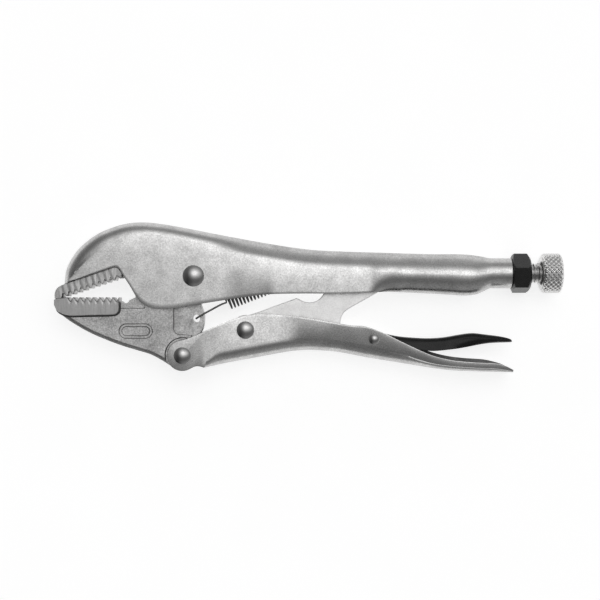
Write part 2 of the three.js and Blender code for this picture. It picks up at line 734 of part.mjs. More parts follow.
// ---------- rivets ----------
// A rivet along Z with a low dome on each side.
function rivet(c, d, face) {
  const z = face + GAP;
  const h = d.top - z;
  const dome = [];
  const steps = 3;
  for (let i = 0; i <= steps; i++) {
    const a = (i / steps) * (Math.PI / 2);
    dome.push([d.head * Math.cos(a), z + h * 0.35 + h * 0.65 * Math.sin(a)]);
  }
  const upper = [[d.shank, z], [d.head, z], ...dome];
  const lower = upper.map(([r, zz]) => [r, -zz]).reverse();
  return turnedZ([...lower, ...upper], c, 24);
}

// ---------- materials ----------
const finish = (color, roughness, metalness) =>
  new THREE.MeshStandardMaterial({ color, roughness, metalness });
const nickel = finish(0xb9babb, 0.38, 0.9);
const forged = finish(0x9b9c9d, 0.45, 0.9);
const bright = finish(0xcfd0d1, 0.35, 0.9);
const black = finish(0x151618, 0.35, 0.6);
const knurled = finish(0xa9aaab, 0.4, 0.9);
const polished = finish(0x8f9091, 0.25, 0.95);

// ---------- assembly ----------
const pliers = new THREE.Group();
pliers.name = "locking_pliers";
function piece(name, geometry, material, parent = pliers) {
  const m = new THREE.Mesh(geometry, material);
  m.name = name;
  parent.add(m);
  return m;
}
piece("upper_handle", upperHandle(), nickel);
piece("fixed_jaw", fixedJaw(), forged);
piece("lower_jaw", lowerJaw(), forged);
piece("lower_handle", lowerHandle(), nickel);
piece("toggle_link", toggleLink(), bright);
piece("release_lever", releaseLever(), black);
piece("adjusting_screw", adjustingScrew(), knurled);
piece("adjusting_knob", adjustingKnob(), knurled);
piece("lock_nut", lockNut(), black);
piece("return_spring", returnSpring(), knurled);
piece("jaw_pivot_rivet", rivet(PIVOT_JAW, JAW_RIVET, HEAD_HALF), polished);
piece("handle_pivot_rivet", rivet(PIVOT_HANDLE, HANDLE_RIVET, HEAD_HALF), polished);
piece("link_rivet", rivet(PIVOT_LINK, LINK_RIVET, LOWER_HALF), polished);
piece("lever_pin", rivet(PIVOT_LEVER, LEVER_PIN, LOWER_HALF), polished);

// the middle of the pliers' length and height, and half the thickness over the jaw rivet
const MIDDLE = [55.75, -10.25];
pliers.position.set(-MIDDLE[0], -MIDDLE[1], JAW_RIVET.top);

export default pliers;
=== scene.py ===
import json
import math

import bmesh
import bpy
import numpy as np
from mathutils import Matrix, Vector


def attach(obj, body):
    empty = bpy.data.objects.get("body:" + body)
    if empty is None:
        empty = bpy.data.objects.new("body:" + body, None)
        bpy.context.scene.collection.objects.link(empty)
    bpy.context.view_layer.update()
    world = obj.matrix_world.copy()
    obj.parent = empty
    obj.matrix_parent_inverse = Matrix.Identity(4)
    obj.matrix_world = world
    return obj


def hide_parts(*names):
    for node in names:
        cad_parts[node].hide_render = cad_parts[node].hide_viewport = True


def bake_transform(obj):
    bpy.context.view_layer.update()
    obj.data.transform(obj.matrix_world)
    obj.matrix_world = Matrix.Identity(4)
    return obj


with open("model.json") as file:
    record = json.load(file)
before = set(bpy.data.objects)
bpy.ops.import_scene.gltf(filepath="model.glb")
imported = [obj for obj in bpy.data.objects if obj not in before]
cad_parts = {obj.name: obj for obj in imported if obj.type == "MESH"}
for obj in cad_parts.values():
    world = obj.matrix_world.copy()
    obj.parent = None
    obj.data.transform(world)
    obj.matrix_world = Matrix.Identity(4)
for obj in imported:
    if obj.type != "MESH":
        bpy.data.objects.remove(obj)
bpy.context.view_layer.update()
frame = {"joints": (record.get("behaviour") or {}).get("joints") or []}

# Locking pliers lying flat, jaws to the left, adjusting knob to the right.
# All drawing is in millimetres from the jaw pivot, z = 0 in the middle of the thickness, and is
# moved to the frame's place of that pivot at the end.
MM = 0.001
JOINT = {j["name"]: j for j in frame["joints"]}
DATUM = Vector(JOINT["jaw_pivot"]["pos_m"])
TO_FRAME = Matrix.Translation(DATUM) @ Matrix.Scale(MM, 4)

# ---------- design dimensions ----------
SHEET = 2.5
HEAD_HALF, GRIP_HALF, TUBE_HALF, NECK_R = 8.2, 7.2, 8.5, 7.4
LOWER_HALF, JAW_HALF, PAD_HALF, TAIL_HALF = 7.7, 5.2, 6.0, 4.2
LINK_HALF, LEVER_HALF, LEVER_SHEET = 1.7, 4.6, 1.6
PIVOT_JAW, PIVOT_HANDLE = (0, 0), (-5.4, -38.6)
PIVOT_LINK, PIVOT_LEVER = (25.1, -26.2), (87.5, -30.6)
SPRING_HOLE, SPRING_ANCHOR = (1, -20.7), (53.4, 0.6)
SCREW_Y, SCREW_R, SCREW_START, NECK_END = 1.4, 4.9, 106.6, 154.7
SCREW_BORE = SCREW_R + 0.1  # radius of the holes that the screw goes into
KNOB_START, KNOB_END, KNOB_BORE_DEPTH = 168.1, 179.3, 6.5
NUT_START, NUT_END, NUT_FLATS, NUT_TURN = 155.0, 163.9, 17.3, 15.0
THREAD_PITCH = 1.5
TOOTH_PITCH, TOOTH_DEPTH = 3.1, 2.1
THROUGH = 9  # half length of a tool that cuts right through


# ---------- curves ----------
def between(q, k, t, gap):
    """Points between neighbours in q, weighted by how far t is from their knots."""
    return [
        (a * (k1 - t) + b * (t - k0)) / (k1 - k0) for a, b, k0, k1 in zip(q, q[1:], k, k[gap:])
    ]


def spline(points, per=16):
    """A smooth line through a few points (centripetal Catmull-Rom)."""
    p = np.asarray(points, float)
    p = np.vstack([2 * p[0] - p[1], p, 2 * p[-1] - p[-2]])
    out = []
    for i in range(1, len(p) - 2):
        q = p[i - 1 : i + 3]
        steps = np.sqrt(np.linalg.norm(np.diff(q, axis=0), axis=1))
        k = np.concatenate([[0], np.cumsum(steps)])
        for t in np.linspace(k[1], k[2], per, endpoint=False):
            b = between(between(q, k, t, 1), k, t, 2)
            out += between(b, k[1:], t, 1)
    out.append(p[-2])
    return np.array(out)


def lengths(line):
    return np.concatenate([[0], np.cumsum(np.linalg.norm(np.diff(line, axis=0), axis=1))])


def walk(line, s):
    """Points at distances s along a line."""
    d = lengths(line)
    return np.stack([np.interp(s, d, line[:, k]) for k in range(line.shape[1])], -1)


def place_on(line, p):
    """The distance along a line of its point nearest to p."""
    return lengths(line)[np.argmin(np.linalg.norm(line - np.asarray(p, float), axis=1))]


def respace(line, step):
    n = max(2, round(lengths(line)[-1] / step))
    return walk(line, np.linspace(0, lengths(line)[-1], n + 1))


def smooth(points, step, per=16):
    return respace(spline(points, per), step)


def ring(c, r, a0, a1, n):
    a = np.radians(np.linspace(a0, a1, n + 1))
    return np.stack([c[0] + r * np.cos(a), c[1] + r * np.sin(a)], -1)


def ease(a, b, x):
    t = np.clip((x - a) / (b - a), 0, 1)
    return t * t * (3 - 2 * t)


def table(rows, x):
    """A piecewise smooth table of [x, value]."""
    if x <= rows[0][0]:
        return rows[0][1]
    for (a, u), (b, v) in zip(rows, rows[1:]):
        if x <= b:
            return u + (v - u) * ease(a, b, x)
    return rows[-1][1]


def at_x(line, x):
    return float(np.interp(x, line[:, 0], line[:, 1]))


def signed_area(line):
    """Twice the area of a closed outline, negative if it runs clockwise."""
    return np.sum(line[:, 0] * np.roll(line[:, 1], -1) - np.roll(line[:, 0], -1) * line[:, 1])


def inward(line):
    """For each point of a closed outline, the step that moves both of its sides in by 1."""
    a = line - np.roll(line, 1, 0)
    b = np.roll(line, -1, 0) - line
    a /= np.linalg.norm(a, axis=1)[:, None]
    b /= np.linalg.norm(b, axis=1)[:, None]
    m = np.stack([-(a + b)[:, 1], (a + b)[:, 0]], -1)
    return m * np.minimum(2 / np.maximum((m**2).sum(1), 1e-6), 0.75)[:, None]


# ---------- meshes ----------
def bm_of(verts, faces):
    bm = bmesh.new()
    vs = [bm.verts.new(v) for v in verts]
    for f in faces:
        bm.faces.new([vs[i] for i in f])
    bm.verts.index_update()
    bm.verts.ensure_lookup_table()
    bmesh.ops.recalc_face_normals(bm, faces=bm.faces)
    return bm


def band(a, b, n):
    """Quads between two rings of n points that start at a and b."""
    return [(a + i, a + (i + 1) % n, b + (i + 1) % n, b + i) for i in range(n)]


def round_edges(bm, pairs, width):
    edges = [bm.edges.get((bm.verts[a], bm.verts[b])) for a, b in pairs]
    bmesh.ops.bevel(
        bm,
        geom=[e for e in edges if e],
        offset=width,
        offset_type="OFFSET",
        segments=2,
        profile=0.5,
        affect="EDGES",
        clamp_overlap=True,
    )


def plate(outline, low, high, rows=None):
    """An outline made into a closed plate. rows lists (height below the face, inset) from the face
    to the wall; a row may give one value for each point of the outline. Both faces get the rows."""
    line = np.asarray(outline, float)
    area = signed_area(line)
    if area < 0:
        line = line[::-1]
    n = len(line)
    m = inward(line)
    rows = rows or [(0, 0)]

    def per_point(value):
        v = np.broadcast_to(np.asarray(value, float), (n,))
        return v[::-1] if area < 0 and np.ndim(value) else v

    levels = [(high - per_point(drop), per_point(inset)) for drop, inset in rows]
    levels += [(low + per_point(drop), per_point(inset)) for drop, inset in reversed(rows)]
    verts = []
    for z, inset in levels:
        verts += [(*(line[i] + m[i] * inset[i]), z[i]) for i in range(n)]
    top = (len(levels) - 1) * n
    faces = [(a, d, c, b) for k in range(0, top, n) for a, b, c, d in band(k, k + n, n)]
    faces += [tuple(range(n)), tuple(top + i for i in reversed(range(n)))]
    return bm_of(verts, faces)


def soft_rows(width, steps=3):
    """Rows that round a plate's rim."""
    turns = [i / steps * math.pi / 2 for i in range(steps + 1)]
    return [(width * (1 - math.cos(f)), width * (1 - math.sin(f))) for f in turns]


def turned(profile, centre, sides=48):
    """A solid turned about a line through centre, parallel to Z. profile lists (height, radius)
    and starts and ends on the line."""
    verts, faces, rings = [], [], []
    for height, r in profile:
        if r < 1e-6:
            rings.append([len(verts)])
            verts.append((*centre, height))
            continue
        rings.append(list(range(len(verts), len(verts) + sides)))
        for k in range(sides):
            a = 2 * math.pi * k / sides
            verts.append((centre[0] + r * math.cos(a), centre[1] + r * math.sin(a), height))
    for lo, hi in zip(rings, rings[1:]):
        for k in range(sides):
            k2 = (k + 1) % sides
            if len(lo) == 1:
                faces.append((lo[0], hi[k2], hi[k]))
            elif len(hi) == 1:
                faces.append((lo[k], lo[k2], hi[0]))
            else:
                faces.append((lo[k], lo[k2], hi[k2], hi[k]))
    return bm_of(verts, faces)


def screw_ring(x, radius, sides):
    """Points round the screw's axis. radius is a number or a function of the step round."""
    out = []
    for k in range(sides):
        a = 2 * math.pi * k / sides
        r = radius(k) if callable(radius) else radius
        out.append((x, SCREW_Y + r * math.cos(a), r * math.sin(a)))
    return out


def stacked(verts, sides):
    """A closed surface over rings of points that follow each other."""
    last = len(verts) - sides
    faces = [f for a in range(0, last, sides) for f in band(a, a + sides, sides)]
    faces.append(tuple(reversed(range(sides))))
    faces.append(tuple(last + k for k in range(sides)))
    return bm_of(verts, faces)


def to_object(bm, name):
    mesh = bpy.data.meshes.new(name)
    bmesh.ops.recalc_face_normals(bm, faces=bm.faces)
    bm.to_mesh(mesh)
    bm.free()
    obj = bpy.data.objects.new(name, mesh)
    bpy.context.scene.collection.objects.link(obj)
    return obj


def add(bm):
    return "UNION", bm


def cut(bm):
    return "DIFFERENCE", bm


def hole(centre, radius, sides=36, half=THROUGH):
    """Cuts a round hole along Z."""
    return cut(plate(ring(centre, radius, 0, 360 - 360 / sides, sides - 1), -half, half))


def combine(base, *tools):
    """Adds or cuts closed bodies, in their order."""
    obj = to_object(base, "work")
    for operation, tool_bm in tools:
        tool = to_object(tool_bm, "tool")
        mod = obj.modifiers.new("b", "BOOLEAN")
        mod.operation = operation
        mod.object = tool
        mod.solver = "EXACT"
        mesh = bpy.data.meshes.new_from_object(
            obj.evaluated_get(bpy.context.evaluated_depsgraph_get())
        )
        obj.modifiers.clear()
        obj.data = mesh
        bpy.data.objects.remove(tool)
    bm = bmesh.new()
    bm.from_mesh(obj.data)
    bpy.data.objects.remove(obj)
    bmesh.ops.remove_doubles(bm, verts=bm.verts, dist=1e-4)
    bmesh.ops.dissolve_degenerate(bm, edges=bm.edges, dist=1e-5)
    return bm


def piece(bm, name, material, body, node, angle=40, weighted=False):
    """A finished piece: smooth shading with sharp edges over angle, in the frame, on its body."""
    obj = to_object(bm, name)
    obj.data.transform(TO_FRAME)
    obj.data.materials.append(material)
    obj.data.polygons.foreach_set("use_smooth", [True] * len(obj.data.polygons))
    obj.data.set_sharp_from_angle(angle=math.radians(angle))
    if weighted:
        mod = obj.modifiers.new("normals", "WEIGHTED_NORMAL")
        mod.keep_sharp = True
        mod.weight = 60
    if body:
        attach(obj, body)
    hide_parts(node)
    return obj


# ---------- materials ----------
class Nodes:
    """Short hand for a node tree."""

    def __init__(self, tree):
        self.tree = tree

    def add(self, kind, **settings):
        n = self.tree.nodes.new(kind)
        inputs = settings.pop("inputs", {})
        for k, v in settings.items():
            setattr(n, k, v)
        for k, v in inputs.items():
            if isinstance(v, bpy.types.NodeSocket):
                self.tree.links.new(v, n.inputs[k])
            else:
                n.inputs[k].default_value = v
        return n

    def link(self, a, b):
        self.tree.links.new(a, b)

    def noise(self, vector, mm, detail=2.0, rough=0.5, stretch=None):
        """Noise whose blotches are about mm wide, optionally stretched along an axis."""
        if stretch:
            m = self.add("ShaderNodeMapping", inputs={"Vector": vector, "Scale": stretch})
            vector = m.outputs["Vector"]
        n = self.add(
            "ShaderNodeTexNoise",
            inputs={"Vector": vector, "Scale": 1000.0 / mm, "Detail": detail, "Roughness": rough},
        )
        return n.outputs["Fac"]

    def remap(self, value, a, b, lo=0, hi=1):
        n = self.add(
            "ShaderNodeMapRange",
            inputs={"Value": value, "From Min": a, "From Max": b, "To Min": lo, "To Max": hi},
        )
        return n.outputs["Result"]

    def math(self, op, a, b=0.0, clamp=False):
        n = self.add("ShaderNodeMath", operation=op, use_clamp=clamp)
        for i, v in enumerate((a, b)):
            if isinstance(v, bpy.types.NodeSocket):
                self.link(v, n.inputs[i])
            else:
                n.inputs[i].default_value = v
        return n.outputs[0]

    def total(self, a, a_part, b, b_part, clamp=False):
        """a * a_part + b * b_part"""
        a, b = self.math("MULTIPLY", a, a_part), self.math("MULTIPLY", b, b_part)
        return self.math("ADD", a, b, clamp)

    def mix(self, factor, a, b):
        n = self.add("ShaderNodeMix", data_type="RGBA")
        for key, kind, v in (("Factor", "VALUE", factor), ("A", "RGBA", a), ("B", "RGBA", b)):
            socket = next(s for s in n.inputs if s.name == key and s.type == kind)
            if isinstance(v, bpy.types.NodeSocket):
                self.link(v, socket)
            else:
                socket.default_value = v
        return next(s for s in n.outputs if s.type == "RGBA")


METAL_TINT = 0.006  # how much warmer than grey the metals are
RELIEF_UNIT = 0.00001  # a hundredth of a mm, in metres


def grey(v, tint=0.0):
    return (v * (1 + tint), v, v * (1 - tint), 1.0)


def new_material(name, **constants):
    """A material, its nodes, its shader and the object's own coordinates. The constants are set on
    the shader's sockets."""
    mat = bpy.data.materials.new(name)
    mat.use_nodes = True
    shader = mat.node_tree.nodes["Principled BSDF"]
    for key, v in constants.items():
        shader.inputs[key].default_value = v
    n = Nodes(mat.node_tree)
    return mat, n, shader, n.add("ShaderNodeTexCoord").outputs["Object"]


def relief(n, shader, height):
    """Bumps whose height is in hundredths of a mm."""
    bump = n.add(
        "ShaderNodeBump", inputs={"Height": height, "Distance": RELIEF_UNIT, "Strength": 1.0}
    )
    n.link(bump.outputs["Normal"], shader.inputs["Normal"])


def metal(name, dark, light, rough, grain, peel, pits=None, lines=None, blotch=7.0):
    """A metal finish. grain, peel and pits are (size in mm, height in hundredths of a mm) of fine
    relief, broad relief and sparse small dents. lines adds tool marks stretched along one axis."""
    mat, n, shader, space = new_material(name, **{"Metallic": 1.0})
    fine = n.noise(space, grain[0], 3.0, 0.6)
    broad = n.noise(space, peel[0], 2.0, 0.5)
    cloud = n.noise(space, blotch, 3.0, 0.55)
    speck = n.noise(space, 0.75, 4.0, 0.8)
    tone = n.total(n.remap(cloud, 0.32, 0.68), 0.35, n.remap(speck, 0.36, 0.64), 0.65, True)
    if lines:
        mark = n.noise(space, lines["mm"], 3.0, 0.65, stretch=lines["stretch"])
        tone = n.total(tone, 0.4, n.remap(mark, 0.3, 0.7), 0.6, True)
    colour = n.mix(tone, grey(dark, METAL_TINT), grey(light, METAL_TINT))
    n.link(colour, shader.inputs["Base Color"])
    n.link(n.remap(tone, 0, 1, rough[1], rough[0]), shader.inputs["Roughness"])
    height = n.total(fine, grain[1], broad, peel[1])
    if pits:
        cell = n.noise(space, pits[0], 1.0, 0.4)
        dents = n.math("MULTIPLY", n.remap(cell, 0.62, 0.78), pits[1])
        height = n.math("SUBTRACT", height, dents)
    if lines:
        height = n.math("ADD", height, n.math("MULTIPLY", mark, lines["height"]))
    relief(n, shader, height)
    return mat


NICKEL = metal("satin_nickel", 0.38, 0.70, (0.22, 0.34), (0.6, 0.3), (4.5, 0.7))
FORGED = metal(
    "forged_steel", 0.24, 0.78, (0.36, 0.50), (0.8, 0.8), (2.6, 1.6), pits=(1.5, 1.5)
)
PAD = metal(
    "machined_pad", 0.30, 0.62, (0.28, 0.5), (0.5, 1.0), (2.4, 1.0),
    lines={"mm": 0.6, "stretch": (1.0, 0.05, 0.05), "height": 3.0},
)
PAD_FINE = metal(
    "ground_pad", 0.34, 0.5, (0.3, 0.45), (0.5, 0.8), (2.4, 0.8),
    lines={"mm": 0.45, "stretch": (1.0, 0.05, 0.05), "height": 1.0},
)
# nearly black: painted shade along the foot of the lower jaw's pad
PAD_FOOT_SHADE = metal("painted_shade_pad_foot", 0.05, 0.16, (0.45, 0.6), (0.6, 1.0), (2.6, 1.0))
# a duller plating, painted dark grey as shade inside the folds
FOLD_SHADE = metal("dull_plating_painted_shade_inside_fold", 0.12, 0.2, (0.5, 0.65), (0.6, 1.5), (2.6, 1.5))
LINK = metal("link_plate", 0.76, 0.95, (0.34, 0.46), (0.5, 0.6), (3.0, 0.7), blotch=4.0)
POLISHED = metal("polished_rivet", 0.40, 0.52, (0.12, 0.2), (0.5, 0.4), (1.6, 0.8))
TURNED = metal(
    "turned_steel", 0.52, 0.72, (0.22, 0.36), (0.4, 0.8), (2.0, 0.8),
    lines={"mm": 0.25, "stretch": (1.0, 0.05, 0.05), "height": 0.8},
)
KNURL = metal("knurled_steel", 0.6, 0.82, (0.16, 0.26), (0.5, 0.8), (1.8, 0.8))
WIRE = metal("spring_wire", 0.13, 0.22, (0.25, 0.4), (0.2, 0.5), (1.2, 0.6))


def black_finish(name, specular):
    """Glossy black oxide over steel: grain and faint oil clouds in the gloss."""
    mat, n, shader, space = new_material(name, **{"Specular IOR Level": specular})
    cloud = n.noise(space, 5.0, 3.0, 0.6)
    fine = n.noise(space, 0.5, 3.0, 0.6)
    tone = n.mix(n.remap(cloud, 0.3, 0.7), grey(0.006), grey(0.018))
    n.link(tone, shader.inputs["Base Color"])
    n.link(n.remap(fine, 0.3, 0.7, 0.22, 0.36), shader.inputs["Roughness"])
    relief(n, shader, n.total(fine, 1.0, cloud, 3.0))
    return mat


BLACK = black_finish("black_oxide", 0.55)
BLACK_LEVER = black_finish("black_lever_finish", 0.22)

# ---------- folded sheets ----------
# A sheet is folded along its back at stations. Each station is a dict: p a point on the back, m
# the direction from there towards the lips, w the half width, a and r the fold's depth and width,
# t the sheet's thickness, q the lip. crown bulges the flank with the given power, curl and tilt
# draw the lip in, and lift raises the far lip. roll rolls the flank round from g to under, which
# leaves a slit of half width lip. soft blends in the shoulder below, stretched by reach.
FOLD, FLANK = 12, 14  # steps round the fold and down the flank
ROLL_START = 0.4  # the part of the flank that stays straight when it is rolled

# how far the grip's soft shoulder lies below the flank, by the distance from the sheet's back
SHOULDER = np.array([
    (0.0, 6.6), (0.25, 6.15), (0.6, 5.75), (1.2, 5.16), (2.0, 4.29), (3.5, 2.97), (5.0, 1.92),
    (6.4, 1.13), (8.0, 0.46), (9.5, 0.11), (11.0, 0.0),
])


def shoulder(s, depth):
    """The half width of the soft shoulder at a depth below the back."""
    drop = float(np.interp(depth / s["reach"], SHOULDER[:, 0], SHOULDER[:, 1]))
    return max(0.5, s["w"] - drop)


def half_section(s, t, side):
    """Half of the sheet's section, from the middle of its back to its lip."""
    m, p = s["m"], s["p"]
    w = s["w"] - t
    a = max(s["a"] - t, 0.25)
    r = max(min(s["r"], s["w"] - 0.25) - t, 0.25)
    q = s["q"] + (np.array([0, s.get("lift", 0)]) if side < 0 else 0)
    c, power, curl = s.get("crown", 0), s.get("power", 2), s.get("curl", 0)
    top = p + m * t
    span = max(np.linalg.norm(q - (top + m * a)), 1.0)
    lean = math.atan(c * power / span)
    out = [(*top, (w - c - r) * k) for k in (0, 0.5, 1)]
    for i in range(1, FOLD + 1):
        f = i / FOLD * (math.pi / 2 - lean)
        out.append((*(top + m * a * (1 - math.cos(f))), w - c - r + r * math.sin(f)))
    start = np.array(out[-1])
    under = s["under"] - m * t
    g_round = s.get("g", q)
    most = math.acos(min(1, s.get("lip", 0.2) / w))
    for i in range(1, FLANK + 1):
        u = i / FLANK
        z = w - c * (1 - u) ** power - curl * u * u - s.get("tilt", 0) * u
        flat = np.array([*(start[:2] + (q - start[:2]) * u), z])
        if s["roll"] > 0:
            if u <= ROLL_START:
                e = u / ROLL_START
                full = np.array([*(start[:2] + (g_round - start[:2]) * e), w])
            else:
                ph = (u - ROLL_START) / (1 - ROLL_START) * most
                e = math.sin(ph) / math.sin(most)
                full = np.array([*(g_round + (under - g_round) * e), w * math.cos(ph)])
            flat = flat + (full - flat) * s["roll"]
        out.append(tuple(flat))
    if not s.get("soft"):
        return out
    eased = []
    for i, (x, y, z) in enumerate(out):
        limit = shoulder(s, float((np.array([x, y]) - p) @ m))
        if t:
            limit = max(0.12, limit - 1.3 * t)
        if i < 3:
            limit *= i / 2
        eased.append((x, y, z + s["soft"] * (min(z, limit) - z)))
    return eased


def folded_sheet(stations, rim=0.3, front=True):
    """A closed folded sheet. Its lips and ends have rounded rims, the front end only if asked."""
    grids = []
    for inner in (False, True):
        rows = []
        for s in stations:
            t = s["t"] if inner else 0
            far = half_section(s, t, -1)
            rows.append(half_section(s, t, 1)[::-1] + [(x, y, -z) for x, y, z in far[1:]])
        grids.append(rows)
    m, n = len(stations), len(grids[0][0])
    verts = [p for rows in grids for row in rows for p in row]

    faces, pairs = [], []
    skin = m * n  # from a point outside to the one inside it
    for a in range(0, skin - n, n):
        for i in range(a, a + n - 1):
            quad = (i, i + n, i + n + 1, i + 1)
            faces += [quad, tuple(skin + k for k in (i, i + 1, i + n + 1, i + n))]
        for i in (a, a + n - 1):
            faces.append((i, skin + i, skin + i + n, i + n))
            pairs += [(i, i + n), (skin + i, skin + i + n)]
    for i in range(n - 1):
        for k in (i, skin - n + i):
            faces.append((k, k + 1, skin + k + 1, skin + k))
            if k != i or front:
                pairs += [(k, k + 1), (skin + k, skin + k + 1)]
    bm = bm_of(verts, faces)
    round_edges(bm, pairs, rim)
    return bm


def shade_inside_fold(obj, half):
    """The faces inside a fold, which look towards the middle plane, get a duller plating painted
    dark grey: painted shade inside the fold.
    """
    obj.data.materials.append(FOLD_SHADE)
    middle = DATUM.z
    for f in obj.data.polygons:
        z = f.center.z - middle
        if abs(z) < (half - 0.6) * MM and f.normal.z * z < -0.3 * abs(z):
            f.material_index = 1


# ---------- upper handle ----------
BACK_HEAD = [
    (-63.5, -3.9), (-62.4, 3.5), (-59.0, 10), (-55, 14.8), (-47.3, 20.6), (-39.4, 24), (-32, 25.9),
    (-25.7, 26.3), (-18, 25.8), (-4.2, 23.5), (10, 20.7), (23.2, 18.2), (35, 16.1),
]
BACK_GRIP = [
    (35, 16.1), (46.7, 14.2), (58.4, 12.8), (72, 12.1), (88, 11.6), (104, 11.1), (118, 10.8),
    (128, 10.8), (134, 10.5), (139.5, 9.8), (144, SCREW_Y + NECK_R + 0.1),
    (146.5, SCREW_Y + NECK_R), (NECK_END, SCREW_Y + NECK_R),
]
MOUTH_EDGE = [
    (-54.9, -0.9), (-45.2, 2.4), (-39.6, 4.3), (-38.2, 4.7), (-36.9, 4.4), (-35.6, 3.1),
    (-34.3, 0.7), (-30.7, -4.9), (-27.8, -9.8), (-25.2, -12.9), (-22, -14.9), (-18.6, -15.8),
    (-15.2, -16.0), (-9.9, -15.6), (-1.7, -14.3), (8, -12.7), (17.7, -11.2), (27.4, -9.8),
    (33, -9.1), (35, -8.97),
]
EDGE_GRIP = [
    (27.4, -9.8), (33, -9.1), (40, -8.7), (51.6, -8.5), (66, -8.5), (78, -8.3), (86, -7.9),
    (95, -7.7), (105, -8.1), (115, -8.6), (124, -9.1), (130, -9.5), (134, -9.5), (138, -8.9),
    (141.5, -7.5), (144.3, SCREW_Y - NECK_R - 0.1), (146.5, SCREW_Y - NECK_R),
    (NECK_END, SCREW_Y - NECK_R),
]
# places on the back of the head and the places on the lower edge that section lines join them to
HEAD_PAIRS = [
    ((-63.5, -3.9), (-54.9, -0.9)), ((-62.4, 3.5), (-52.4, 0)), ((-59, 10), (-49.5, 0.95)),
    ((-55, 14.8), (-46.6, 1.9)), ((-47.3, 20.6), (-42.5, 3.3)), ((-39.4, 24), (-38.2, 4.7)),
    ((-32, 25.9), (-34.6, 1.3)), ((-25.7, 26.3), (-30.7, -4.9)), ((-18, 25.8), (-25.2, -12.9)),
    ((-11, 24.7), (-18.6, -15.8)), ((-4.2, 23.5), (-9.9, -15.6)), ((3, 22.1), (-1.7, -14.3)),
    ((10, 20.7), (8, -12.7)), ((23.2, 18.2), (21, -10.8)), ((35, 16.1), (35, -8.97)),
]


CURL = [(12, 0), (24, 1.2), (30, 1.15), (40, 0)]


def slope_of(line, x, reach, ends, at_start, at_end):
    """The slope of a line at x, or a stated one outside the ends."""
    if x <= ends[0]:
        return at_start
    if x >= ends[1]:
        return at_end
    return (at_x(line, x + reach) - at_x(line, x - reach)) / (2 * reach)


def upper_stations():
    width = [
        (22, HEAD_HALF), (36, GRIP_HALF), (84, GRIP_HALF), (104, 7.9), (128, TUBE_HALF),
        (134, TUBE_HALF - 0.1), (145, NECK_R),
    ]
    crown = [(-50, 0.3), (-25, 0.42), (10, 0.5), (30, 0.7), (84, 0.7), (92, 0.0)]
    fold = [(-60, 8.5), (-35, 7.2), (-15, 6.5), (10, 6.8), (36, 9.0)]
    back = spline(BACK_HEAD, 24)
    edge = spline(MOUTH_EDGE, 24)
    sb = [place_on(back, a) for a, b in HEAD_PAIRS]
    se = [place_on(edge, b) for a, b in HEAD_PAIRS]
    total = lengths(back)[-1]
    out = []
    first = np.array(MOUTH_EDGE[0]) - np.array(BACK_HEAD[0])
    first /= np.linalg.norm(first)
    steps = np.linspace(0, total, 190)
    for s in steps[:-1]:
        p = walk(back, np.array([s]))[0]
        d = walk(back, np.array([max(0, s - 0.6), min(total, s + 0.6)]))
        tan = (d[1] - d[0]) / np.linalg.norm(d[1] - d[0])
        inward = np.array([tan[1], -tan[0]])
        k = ease(0, 14, s)
        m = first * (1 - k) + inward * k
        m /= np.linalg.norm(m)
        a = table(fold, p[0]) / max(0.6, float(m @ inward))
        q, x = walk(edge, np.array([np.interp(s, sb, se)]))[0], p[0]
        out.append(
            dict(
                p=p, m=m, w=table(width, x), a=a, r=table([(10, 6.3), (35, 6.6)], x), t=SHEET,
                q=q, under=q, roll=0,
                crown=table(crown, x), power=4.0 if x < 20 else 3.0,
                soft=float(ease(2, 34, x)), reach=1.0,
                curl=table(CURL, x),
            )
        )
    back = spline(BACK_GRIP, 30)
    edge = spline(EDGE_GRIP, 30)
    xs = np.concatenate([
        np.arange(35, 82, 1.0), np.arange(82, 108, 0.7), np.arange(108, 134, 1.0),
        np.arange(134, 148, 0.5), np.arange(148, NECK_END, 1.2), [NECK_END],
    ])
    for x in xs:
        top, low = at_x(back, x), at_x(edge, x)
        rolled = float(ease(84, 97, x))
        w = table(width, x)
        mid = (top + low) / 2
        slope = slope_of(back, x, 0.6, (0, NECK_END - 1), 0.0, 0.0)
        flat = float(ease(96, 108, x))
        m = np.array([slope, -1.0]) / math.hypot(1, slope)
        m = m * (1 - flat) + np.array([0, -1.0]) * flat
        out.append(
            dict(
                p=np.array([x, top]), m=m, w=w,
                a=9.0 + (top - mid - 9.0) * rolled,
                r=6.6 + (w - 0.25 - 6.6) * rolled,
                t=SHEET + (NECK_R - SCREW_R - 0.2 - SHEET) * float(ease(136, 144, x)),
                q=np.array([x, low]), under=np.array([x, low]), g=np.array([x, mid - 0.15]),
                roll=rolled, lip=2.4 + (0.15 - 2.4) * float(ease(100, 104, x)),
                crown=table(crown, x), power=3.0,
                soft=1.0 - float(ease(136, 146, x)),
                reach=1.0 + ((top - mid + 0.7) / 11.0 - 1.0) * rolled,
                curl=table(CURL, x),
            )
        )
    return out


# the tab inside the grip that holds the spring
tab = np.vstack([
    [(50.8, 12.2)], ring((53.4, -0.2), 2.6, 180, 360, 16), [(56, 11.6)],
])
handle_bm = folded_sheet(upper_stations())
tab_bm = plate(tab, -0.9, 0.9, soft_rows(0.25))
tab_bm = combine(tab_bm, hole(SPRING_ANCHOR, 1.3, 24, 2))
tab_mesh = bpy.data.meshes.new("tab")
tab_bm.to_mesh(tab_mesh)
handle_bm.from_mesh(tab_mesh)
handle_obj = piece(
    handle_bm, "upper_handle_shell", NICKEL, "upper_assembly", "upper_handle"
)
shade_inside_fold(handle_obj, GRIP_HALF)


